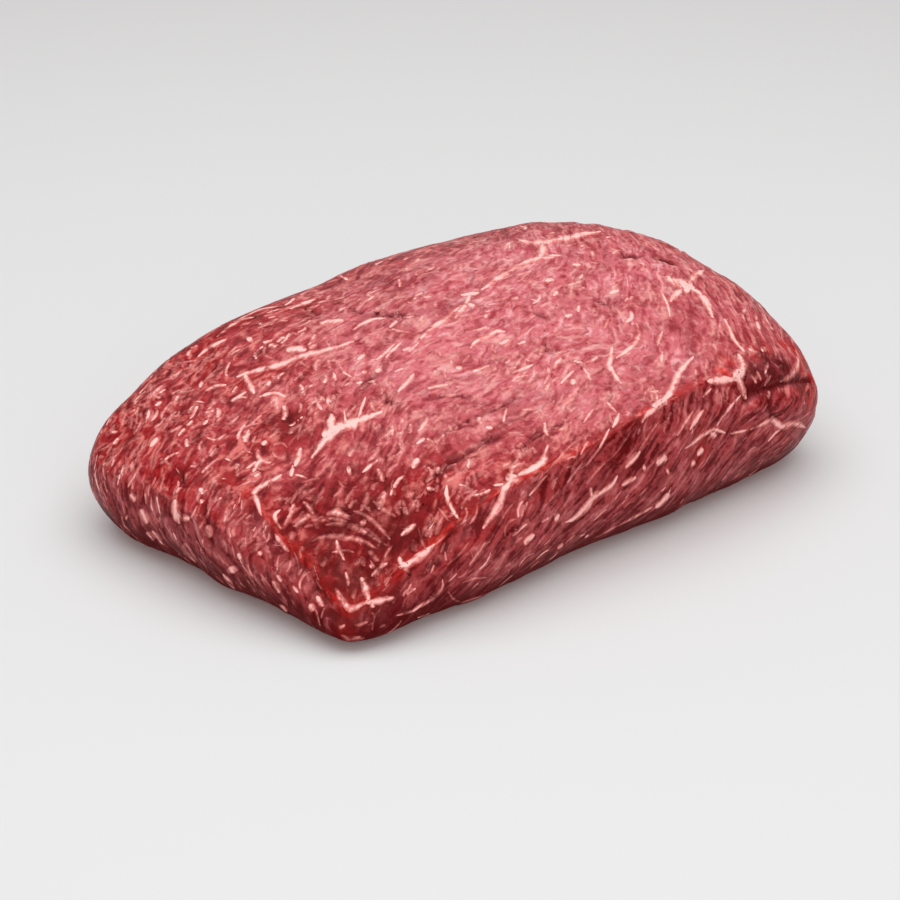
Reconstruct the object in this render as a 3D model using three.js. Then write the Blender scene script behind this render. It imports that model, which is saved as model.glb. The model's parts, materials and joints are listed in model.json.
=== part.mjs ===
// A raw beef sirloin tip roast: one trimmed block of muscle with a domed top, upright sides and
// a low, pointed front corner. It lies on its flat cut face. Millimetres, +Z up.
// X runs along the roast, Y across it, and the origin is under the middle of its bounding box.
import * as THREE from "three";
import { mergeVertices } from "three/addons/utils/BufferGeometryUtils.js";

// Half sizes of the block that the form is rounded from.
const HALF_LENGTH = 114;
const HALF_WIDTH = 79;

// Heights that pull the top into shape. Rows run from the front side (-Y) to the back (+Y), and
// each row from the left end (-X) to the right end (+X). Only the corner heights are reached.
const CROWN_HEIGHTS = [
  [32, 45.8, 58.7, 22],
  [39, 66.8, 75, 92.3],
  [25.8, 66.1, 53.2, 42.5],
];

// The front left corner is trimmed down to a low point.
const CORNER_DROP = 26;
const CORNER_REACH = 0.578; // as a share of the half sizes

// Rounding, as exponents of the superellipse: a larger one gives a squarer edge.
const PLAN_SQUARENESS = 5.1;
const FRONT_CORNER_SQUARENESS = 12; // added at the pointed corner
const TOP_EDGE_SQUARENESS = 8;
const BOTTOM_EDGE_SQUARENESS = 9.2;

// Share of the plan by which the sides draw in at the foot and at the top edge.
const FOOT_TUCK = 0.11;
const TOP_LEAN = 0.037;

// The plan isn't a true rectangle: it is sheared, and wider at its right end.
const SHEAR = -5.6;
const END_TAPER = 0.105;
const FLAT_SHARE = 0.004; // the lowest share of the height, which the weight of the meat presses flat

// Muscle bundles make the surface swell and dip.
const BUNDLE_WAVES = 6;
const BUNDLE_LENGTH = 62; // wavelength of the broadest swelling
const BUNDLE_HEIGHT = 0.45;
const TURN_OF_WAVES = 2.4; // radians from one wave's direction to the next

// Seams between muscles sink into the surface: each is a line of points, a depth and a half width.
const SEAMS = [
  // Under the lower of the two small muscles at the right end of the front side.
  { depth: 1.5, reach: 4, line: [[36, -80, 31], [47, -81, 31], [57, -81, 28], [76, -81, 23], [92, -78, 16]] },
  // Between that muscle and the one above it.
  { depth: 1.5, reach: 3.5, line: [[59, -78, 37], [74, -79, 35], [93, -76, 32], [101, -66, 32]] },
  // Where the upper small muscle meets the main one.
  { depth: 1.2, reach: 4, line: [[67, -71, 42], [59, -78, 37], [60, -81, 29]] },
  // Two long dips in the top, along the grain.
  { depth: 1.1, reach: 6, line: [[-65, 30, 47], [-31, 14, 54], [0, 3, 58], [37, 7, 62]] },
  { depth: 1, reach: 6, line: [[-79, -38, 29], [-48, -48, 36], [-35, -50, 40], [-2, -53, 47]] },
  // Natural seams in the sides that face away.
  { depth: 1.8, reach: 5, line: [[-60, 76, 15], [0, 81, 27], [62, 85, 20]] },
  { depth: 1.6, reach: 5, line: [[105, -20, 14], [110, 12, 33], [105, 44, 22]] },
];

// Places where the muscle bulges, or sinks where the height is below zero.
const SWELLINGS = [
  // The two small muscles.
  { centre: [76, -75, 40], reach: 8, height: 0.9 },
  { centre: [80, -81, 28], reach: 9, height: 1.2 },
  // The foot of the front side and of the left end, where the meat spreads under its weight.
  { centre: [-56, -72, 8], reach: 32, height: 2.2 },
  { centre: [-109, -12, 10], reach: 30, height: 2 },
  // It draws in again under the small muscles.
  { centre: [72, -80, 5], reach: 26, height: -3 },
  // The back edge of the top: low in its middle, full at the right.
  { centre: [4, 68, 58], reach: 27, height: -2.6 },
  { centre: [92, 14, 60], reach: 22, height: 1.2 },
  { centre: [103, -42, 46], reach: 20, height: 1.1 },
  // The middle of the back.
  { centre: [20, 82, 32], reach: 30, height: 1.6 },
];

// Cells of the surface along X, Y and Z.
const CELLS = [44, 28, 14];
const EDGE_CROWDING = 1.35; // above 1, the cells are finer towards the edges

const MEAT_COLOUR = 0xb3484c;

// The value at t, from -1 to 1, of the smooth curve that a row of values pulls into shape.
function blend(values, t) {
  const share = (t + 1) / 2;
  let row = values;
  while (row.length > 1) {
    const [start, ...rest] = row;
    row = rest.map((end, i) => THREE.MathUtils.lerp(i > 0 ? rest[i - 1] : start, end, share));
  }
  return row[0];
}

// Spreads -1 to 1 so that steps are finer near its ends.
function crowded(t) {
  return Math.sign(t) * (1 - (1 - Math.abs(t)) ** EDGE_CROWDING);
}

// Takes a point of the cube from -1 to 1 to its place on the smooth block.
function onBlock(point) {
  const [u, v, w] = [crowded(point.x), crowded(point.y), crowded(point.z)];
  const ring = Math.max(Math.abs(u), Math.abs(v));
  let [across, along] = [u, v];
  if (ring > 0) {
    const nearFront = ((1 - u) / 2) ** 2 * ((1 - v) / 2) ** 2;
    const plan = PLAN_SQUARENESS + FRONT_CORNER_SQUARENESS * nearFront;
    const shrink = (Math.abs(u / ring) ** plan + Math.abs(v / ring) ** plan) ** (-1 / plan);
    across *= shrink;
    along *= shrink;
  }
  const edge = w > 0 ? TOP_EDGE_SQUARENESS : BOTTOM_EDGE_SQUARENESS;
  const level = Math.max(ring, Math.abs(w));
  const rounding = level * (ring ** edge + Math.abs(w) ** edge) ** (-1 / edge);
  across *= rounding;
  along *= rounding;
  const share = (w * rounding + 1) / 2;
  const girth = 1 - FOOT_TUCK * (1 - share) ** 3 - TOP_LEAN * share ** 2;

  const x = across * HALF_LENGTH * girth + SHEAR * along;
  const y = along * HALF_WIDTH * girth * (1 + END_TAPER * across);
  const rows = CROWN_HEIGHTS.map((row) => blend(row, across));
  const toCorner = Math.hypot(across + 1, along + 1) / CORNER_REACH;
  const height = blend(rows, along) - CORNER_DROP * Math.exp(-(toCorner ** 1.2));
  const z = (Math.max(0, share - FLAT_SHARE) / (1 - FLAT_SHARE)) * height;
  return new THREE.Vector3(x, y, z);
}

// How far the muscle bundles lift the surface at a point.
function bundles(point) {
  let lift = 0;
  for (let k = 0; k < BUNDLE_WAVES; k += 1) {
    const turn = k * TURN_OF_WAVES;
    const wave = (2 * Math.PI * (1 + 0.3 * k)) / BUNDLE_LENGTH;
    const run = point.x * Math.cos(turn) + point.y * Math.sin(turn) + point.z * Math.sin(2 * turn);
    lift += (BUNDLE_HEIGHT / (1 + 0.4 * k)) * Math.sin(run * wave + k);
  }
  return lift;
}

// Distance from a point to a line of points.
function distanceTo(point, line) {
  const nearest = new THREE.Vector3();
  const piece = new THREE.Line3();
  let least = Infinity;
  for (let i = 1; i < line.length; i += 1) {
    piece.set(new THREE.Vector3(...line[i - 1]), new THREE.Vector3(...line[i]));
    piece.closestPointToPoint(point, true, nearest);
    least = Math.min(least, nearest.distanceTo(point));
  }
  return least;
}

// The whole relief at a point, out along the surface's normal.
function relief(point) {
  let lift = bundles(point);
  for (const seam of SEAMS) {
    lift -= seam.depth * Math.exp(-((distanceTo(point, seam.line) / seam.reach) ** 2));
  }
  for (const swelling of SWELLINGS) {
    const away = point.distanceTo(new THREE.Vector3(...swelling.centre));
    lift += swelling.height * Math.exp(-((away / swelling.reach) ** 2));
  }
  return lift;
}

// The roast's closed surface, with its flat resting face at z = 0.
function roastGeometry() {
  const cube = new THREE.BoxGeometry(2, 2, 2, ...CELLS);
  cube.deleteAttribute("normal");
  cube.deleteAttribute("uv");
  const geometry = mergeVertices(cube, 1e-4);
  const places = geometry.getAttribute("position");
  const point = new THREE.Vector3();
  for (let i = 0; i < places.count; i += 1) {
    const placed = onBlock(point.fromBufferAttribute(places, i));
    places.setXYZ(i, placed.x, placed.y, placed.z);
  }
  geometry.computeVertexNormals();
  const normals = geometry.getAttribute("normal");
  const normal = new THREE.Vector3();
  const liftedFrom = 5; // the relief fades out below this height, so that the foot stays flat
  for (let i = 0; i < places.count; i += 1) {
    point.fromBufferAttribute(places, i);
    if (point.z <= 0) continue;
    normal.fromBufferAttribute(normals, i);
    const fade = Math.min(1, point.z / liftedFrom);
    point.addScaledVector(normal, relief(point) * fade);
    places.setXYZ(i, point.x, point.y, Math.max(point.z, 0));
  }
  geometry.computeBoundingBox();
  const middle = geometry.boundingBox.getCenter(new THREE.Vector3());
  geometry.translate(-middle.x, -middle.y, 0);
  geometry.computeVertexNormals();
  return geometry;
}

const meat = new THREE.MeshStandardMaterial({ color: MEAT_COLOUR, roughness: 0.4, metalness: 0 });
const roast = new THREE.Mesh(roastGeometry(), meat);
roast.name = "roast";

const group = new THREE.Group();
group.add(roast);
export default group;
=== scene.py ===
"""A raw beef sirloin tip roast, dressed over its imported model.

The meat is rebuilt from the model's solid as a fine surface with fibre bundles, creases and a lip
along the ridge. Its fat lies on it as low ribbons: the seams where the photograph shows them, and
flecks, specks, threads and hairs scattered along the grain of every side but the resting face. Sizes
are millimetres unless a comment says otherwise, and MM turns them into Blender's metres.
"""

import json
import logging
import math
from collections.abc import Callable, Sequence
from dataclasses import dataclass, field
from enum import Enum
from functools import partial
from typing import Any, NamedTuple

import bpy
import numpy as np
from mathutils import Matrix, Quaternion, Vector
from mathutils.bvhtree import BVHTree

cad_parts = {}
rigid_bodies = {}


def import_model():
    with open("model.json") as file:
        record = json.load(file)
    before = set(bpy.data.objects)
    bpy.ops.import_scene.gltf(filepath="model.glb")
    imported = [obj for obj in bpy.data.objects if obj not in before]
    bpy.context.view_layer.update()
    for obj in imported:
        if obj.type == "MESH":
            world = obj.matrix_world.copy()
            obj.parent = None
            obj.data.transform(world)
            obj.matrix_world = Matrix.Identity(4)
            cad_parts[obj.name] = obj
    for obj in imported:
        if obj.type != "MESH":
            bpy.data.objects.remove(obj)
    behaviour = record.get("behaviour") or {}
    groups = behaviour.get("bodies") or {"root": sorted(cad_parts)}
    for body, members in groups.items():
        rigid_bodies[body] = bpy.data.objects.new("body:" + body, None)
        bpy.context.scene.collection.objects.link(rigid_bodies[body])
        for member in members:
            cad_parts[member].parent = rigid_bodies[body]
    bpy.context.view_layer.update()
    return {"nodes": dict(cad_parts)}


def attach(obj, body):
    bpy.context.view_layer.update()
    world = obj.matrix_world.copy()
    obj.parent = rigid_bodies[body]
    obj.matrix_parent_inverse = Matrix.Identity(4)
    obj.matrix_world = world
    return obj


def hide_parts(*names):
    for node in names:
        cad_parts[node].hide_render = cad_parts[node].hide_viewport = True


MM = 0.001
LOG = logging.getLogger("roast")
Pixel = tuple[float, float]  # across and down the photograph, which is 900 pixels wide
Spot = tuple[float, float]  # along X and along Y
Triple = tuple[float, float, float]
Fade = tuple[float, float]  # the values at the start and the end of a smooth change
Range = tuple[float, float]  # the least and the most
Adder = Callable[..., bpy.types.Node]  # add_node for one material's tree
# What is set on every node of a kind.
USUAL = {"Mix": {"data_type": "RGBA"}, "MapRange": {"interpolation_type": "SMOOTHSTEP"}}
NOISE_MIDDLE = 0.5  # the average of Blender's noise


def linear(hex_colour: str) -> tuple[float, float, float, float]:
    """Turns an sRGB hex colour into Blender's linear colour.

    Args:
        hex_colour: The colour as "#rrggbb".

    Returns:
        Red, green, blue and a full alpha.
    """
    channels = [int(hex_colour[i : i + 2], 16) / 255 for i in (1, 3, 5)]
    made = [c / 12.92 if c <= 0.04045 else ((c + 0.055) / 1.055) ** 2.4 for c in channels]
    return made[0], made[1], made[2], 1.0


def deselect_all() -> None:
    """Leaves nothing selected, so that an operator acts only on what is picked next."""
    for item in bpy.context.view_layer.objects:
        item.select_set(False)


def pick(piece: bpy.types.Object) -> None:
    """Makes a piece the only selected and the active object."""
    deselect_all()
    piece.select_set(True)
    bpy.context.view_layer.objects.active = piece


def smooth_step(values: np.ndarray, start: float, end: float) -> np.ndarray:
    """Rises smoothly from 0 at start to 1 at end."""
    share = np.clip((values - start) / (end - start), 0.0, 1.0)
    return share * share * (3.0 - 2.0 * share)


def at_least(least: float, share: np.ndarray) -> np.ndarray:
    """Squeezes a share from 0 to 1 into the span from the least to 1."""
    return least + (1.0 - least) * share


def near_spot(places: np.ndarray, spot: Spot, fade: Fade) -> np.ndarray:
    """How near a spot each place is, seen from above, from 0 to 1."""
    return smooth_step(np.linalg.norm(places[:, :2] - spot, axis=1), *fade)


def read_all(items: Any, name: str, width: int = 1, kind: type = np.float64) -> np.ndarray:
    """Reads one attribute of every item of a Blender collection.

    Args:
        items: The collection.
        name: The attribute's name.
        width: How many numbers it has.
        kind: Their type.

    Returns:
        One number for each item, or a row of them where the width is above 1.
    """
    values = np.empty(len(items) * width, dtype=kind)
    items.foreach_get(name, values)
    return values if width == 1 else values.reshape(-1, width)


def bell(values: np.ndarray, middle: float, reach: float | np.ndarray) -> np.ndarray:
    """1 at the middle, fading on both sides of it over about the reach."""
    return np.exp(-(((values - middle) / reach) ** 2))


def cloudy(points: np.ndarray, cell: float, seed: int) -> np.ndarray:
    """Smooth random values at points, which change over about one cell.

    Args:
        points: Places, one a row, in the unit of cell.
        cell: The size of one swelling.
        seed: Which pattern to draw.

    Returns:
        A value from -1 to 1 for each point.
    """
    side = 48  # the pattern repeats after this many cells
    table = np.random.default_rng(seed).uniform(-1.0, 1.0, (side, side, side))
    place = points / cell
    low = np.floor(place).astype(int)
    share = smooth_step(place - low, 0.0, 1.0)
    total = np.zeros(len(points))
    for corner in np.ndindex(2, 2, 2):
        weight = np.prod(np.where(np.array(corner) == 1, share, 1.0 - share), axis=1)
        x, y, z = ((low + corner) % side).T
        total += weight * table[x, y, z]
    return total


def unit(vector: np.ndarray) -> np.ndarray:
    """The vector at a length of 1."""
    return vector / max(np.linalg.norm(vector), 1e-9)


def steps_of(line: np.ndarray) -> np.ndarray:
    """The distance from each point of a line to the next."""
    return np.linalg.norm(np.diff(line, axis=0), axis=1)


class Cloud(NamedTuple):
    """A cloudy pattern: the size of its swellings in millimetres, and its seed."""

    size: float
    seed: int

    def at(self, places: np.ndarray) -> np.ndarray:
        """Its value from -1 to 1 at each place, given in millimetres."""
        return cloudy(places, self.size, self.seed)


def distance_to_line(points: np.ndarray, line: np.ndarray) -> np.ndarray:
    """Distance from each point to a line of points."""
    nearest = np.full(len(points), np.inf)
    for start, end in zip(line[:-1], line[1:]):
        run = end - start
        share = np.clip((points - start) @ run / max(run @ run, 1e-12), 0.0, 1.0)
        nearest = np.minimum(nearest, np.linalg.norm(points - start - share[:, None] * run, axis=1))
    return nearest


@dataclass(frozen=True)
class PhotoView:
    """The camera of the photograph, worked out from the roast's outline."""

    azimuth_deg: float = -43.12
    elevation_deg: float = 25.23
    distance: float = 830.0
    aim: Triple = (-9.9, -9.8, 17.7)
    lens: float = 100.0
    sensor: float = 36.0
    frame_px: float = 900.0
    clip_end: float = 20000.0

    def away(self) -> Vector:
        """The unit vector from the roast to the camera."""
        azimuth, elevation = math.radians(self.azimuth_deg), math.radians(self.elevation_deg)
        flat = math.cos(elevation)
        return Vector((math.sin(azimuth) * flat, -math.cos(azimuth) * flat, math.sin(elevation)))

    def turn(self) -> Quaternion:
        """How the camera is turned to face the roast."""
        return self.away().to_track_quat("Z", "Y")

    def eye(self) -> Vector:
        """Where the camera stands, in metres."""
        return (Vector(self.aim) + self.away() * self.distance) * MM

    def build(self) -> None:
        """Adds the camera and makes it the scene's own."""
        data = bpy.data.cameras.new("photo_view")
        data.lens = self.lens
        data.sensor_width = self.sensor
        data.clip_end = self.clip_end * MM
        camera = bpy.data.objects.new("photo_view", data)
        camera.location = self.eye()
        camera.rotation_euler = self.turn().to_euler()
        bpy.context.scene.collection.objects.link(camera)
        bpy.context.scene.camera = camera

    def focal_px(self) -> float:
        """The focal length in pixels of the photograph."""
        return self.lens / self.sensor * self.frame_px

    def pixels(self, places: np.ndarray) -> np.ndarray:
        """Where places land in the photograph.

        Args:
            places: Millimetres, one place a row.

        Returns:
            Pixels across and down, one row for each place.
        """
        seen = (places - np.array(self.eye()) / MM) @ np.array(self.turn().to_matrix())
        middle = self.frame_px / 2
        across = middle - self.focal_px() * seen[:, 0] / seen[:, 2]
        down = middle + self.focal_px() * seen[:, 1] / seen[:, 2]
        return np.stack([across, down], 1)

    def foreshortening(self, places: np.ndarray, sides: np.ndarray) -> np.ndarray:
        """How much narrower than face on the photograph shows a width at each place.

        Args:
            places: Millimetres, one place a row.
            sides: The unit direction of each width.

        Returns:
            1 for a width seen face on, less for one seen aslant.
        """
        face_on = self.focal_px() / self.distance
        return np.linalg.norm(self.pixels(places + sides) - self.pixels(places), axis=1) / face_on

    def ray(self, pixel: Pixel) -> Vector:
        """The direction from the camera through a pixel of the photograph."""
        middle = self.frame_px / 2
        across, down = pixel[0] - middle, pixel[1] - middle
        return (self.turn() @ Vector((across, -down, -self.focal_px()))).normalized()


class Zone(Enum):
    """The sides of the roast, each with a grain of its own."""

    TOP = 0
    LONG_SIDE = 1
    END = 2

    @property
    def stretch(self) -> tuple[float, float]:
        """How the material's map is scaled along and across the fibres."""
        scales = {Zone.TOP: (1.0, 1.0), Zone.LONG_SIDE: (0.8, 1.2), Zone.END: (1.1, 1.05)}
        return scales[self]


class Wave(NamedTuple):
    """A gentle bend of the fibres: its height, its length over 2 pi each way, and its start."""

    height: float
    run_length: float
    rise_length: float = math.inf
    start: float = 0.0

    def at(self, run: np.ndarray, rise: np.ndarray) -> np.ndarray:
        """How far the wave moves the fibres at places with the given coordinates."""
        return self.height * np.sin(run / self.run_length + rise / self.rise_length + self.start)


@dataclass(frozen=True)
class Grain:
    """The way the muscle fibres run, as lines of equal value of a smooth map over each zone."""

    top_heading_deg: float = 19.0
    side_heading_deg: float = 33.0
    end_heading_deg: float = 52.0
    right_end_from: float = 42.0  # along X, where the fibres of the top start to turn
    right_end_turn: float = 0.011  # how fast they turn, per millimetre
    top_waves: tuple[Wave, ...] = (Wave(3.0, 21.0, start=0.6), Wave(2.0, 13.0, -18.0))
    side_waves: tuple[Wave, ...] = (Wave(1.7, 15.0, start=1.0), Wave(1.1, 26.0, 8.0))
    swirl_count: int = 26
    swirl_field: Spot = (105.0, 70.0)  # they lie this far from the middle at most
    swirl_reach: Range = (9.0, 19.0)
    swirl_height: Range = (2.0, 5.5)
    seed: int = 11

    def swirls(self) -> list[tuple[float, float, float, float]]:
        """Where the top's fibres curl: each swirl's place, reach and height."""
        rng = np.random.default_rng(self.seed)
        made = []
        for k in range(self.swirl_count):
            x, y = (rng.uniform(-reach, reach) for reach in self.swirl_field)
            height = rng.uniform(*self.swirl_height) * (1 if k % 2 else -1)
            made.append((x, y, rng.uniform(*self.swirl_reach), height))
        return made

    def along_and_across(self, points: np.ndarray, zone: Zone) -> np.ndarray:
        """Coordinates along and across the fibres.

        Args:
            points: Places in millimetres, one a row.
            zone: The side that they lie on.

        Returns:
            Two columns, in millimetres: how far along and how far across the fibres.
        """
        x, y, z = points.T
        headings = {Zone.TOP: self.top_heading_deg, Zone.LONG_SIDE: self.side_heading_deg,
                    Zone.END: self.end_heading_deg}
        run, rise = {Zone.TOP: (x, y), Zone.LONG_SIDE: (x, z), Zone.END: (y, z)}[zone]
        turn = math.radians(headings[zone])
        along = math.cos(turn) * run + math.sin(turn) * rise
        across = -math.sin(turn) * run + math.cos(turn) * rise
        if zone is Zone.TOP:
            across = across - self.right_end_turn * np.maximum(0.0, x - self.right_end_from) ** 2
        for wave in self.top_waves if zone is Zone.TOP else self.side_waves:
            across = across + wave.at(run, rise)
        if zone is Zone.TOP:
            for place_x, place_y, reach, height in self.swirls():
                away = ((x - place_x) ** 2 + (y - place_y) ** 2) / reach**2
                across = across + height * np.exp(-away)
        return np.stack([along, across], 1)

    def direction(self, point: np.ndarray, normal: np.ndarray, zone: Zone) -> np.ndarray:
        """The unit direction of the fibres at a point, in the surface.

        Args:
            point: The place in millimetres.
            normal: The surface's unit normal there.
            zone: The side that it lies on.

        Returns:
            A unit vector.
        """
        steps = 0.5 * np.eye(3)
        probes = np.concatenate([point + steps, point - steps])
        across = self.along_and_across(probes, zone)[:, 1]
        slope = across[:3] - across[3:]
        if zone is Zone.TOP:
            slope[2] = 0.0
        return unit(np.cross(slope, normal))


# The ridge between the top and the two sides that show, in pixels of the photograph, from the left.
RIDGE = ((125, 455), (160, 462), (200, 470), (225, 485), (255, 503), (280, 535), (305, 558), (325, 585),
         (348, 611), (400, 572), (430, 548), (465, 518), (500, 492), (545, 470), (585, 450), (620, 428),
         (655, 408), (680, 395), (705, 382), (728, 375))


@dataclass(frozen=True)
class Crease:
    """A dark gap between muscle bundles: its line in the photograph, half width and depth."""

    path: tuple[Pixel, ...]
    reach: float
    depth: float


CREASES = (
    Crease(((345, 281), (353, 279), (370, 277), (385, 281), (399, 286)), 1.2, 0.5),
    Crease(((300, 295), (318, 291), (336, 285)), 1.0, 0.4),
    Crease(((376, 314), (388, 314), (402, 315)), 1.4, 1.3),
    Crease(((352, 310), (362, 311)), 1.2, 1.0),
    Crease(((308, 309), (318, 314)), 1.2, 0.9),
    Crease(((362, 386), (369, 380), (375, 374)), 1.2, 1.1),
    Crease(((343, 507), (349, 509)), 1.8, 2.0),
    Crease(((425, 480), (441, 469), (459, 458), (477, 446), (500, 436)), 1.3, 1.1),
    Crease(((406, 491), (420, 500), (432, 511)), 1.2, 0.9),
    Crease(((624, 256), (629, 255), (636, 256)), 1.4, 1.5),
    Crease(((655, 258), (664, 259), (672, 263)), 1.3, 1.3),
    Crease(((427, 399), (448, 395), (466, 397)), 1.0, 0.8),
    Crease(((448, 431), (470, 420), (495, 409), (520, 397)), 1.0, 0.8),
    Crease(((520, 452), (532, 438), (548, 428), (560, 424)), 1.0, 0.8),
    Crease(((384, 396), (388, 401), (396, 403)), 1.3, 1.1),
    Crease(((284, 412), (292, 421)), 1.5, 1.2),
    Crease(((258, 446), (268, 452)), 1.5, 0.6),
    Crease(((395, 520), (412, 512), (428, 500)), 1.2, 0.9),
    Crease(((442, 548), (452, 530), (470, 513)), 1.2, 0.8),
    Crease(((596, 300), (606, 304)), 1.1, 0.9),
    Crease(((538, 313), (543, 318)), 1.2, 1.0),
    Crease(((541, 346), (552, 351)), 1.2, 0.9),
    Crease(((747, 399), (752, 394), (762, 390), (771, 386), (781, 383), (791, 381), (803, 380),
            (811, 380)), 1.6, 1.5),
    Crease(((774, 388), (770, 397), (769, 406), (773, 416), (777, 421)), 1.5, 1.1),
    Crease(((770, 362), (777, 357), (784, 355)), 1.4, 0.8),
    Crease(((747, 372), (746, 382), (749, 393)), 1.3, 0.8),
    Crease(((205, 510), (209, 528), (213, 545)), 1.3, 0.9),
    Crease(((185, 487), (180, 470)), 1.3, 0.8),
)


@dataclass(frozen=True)
class Seam:
    """A seam of fat: its line in the photograph, its width at the middle and how rich its fat is."""

    path: tuple[Pixel, ...]
    width: float
    richness: float = 1.05


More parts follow.
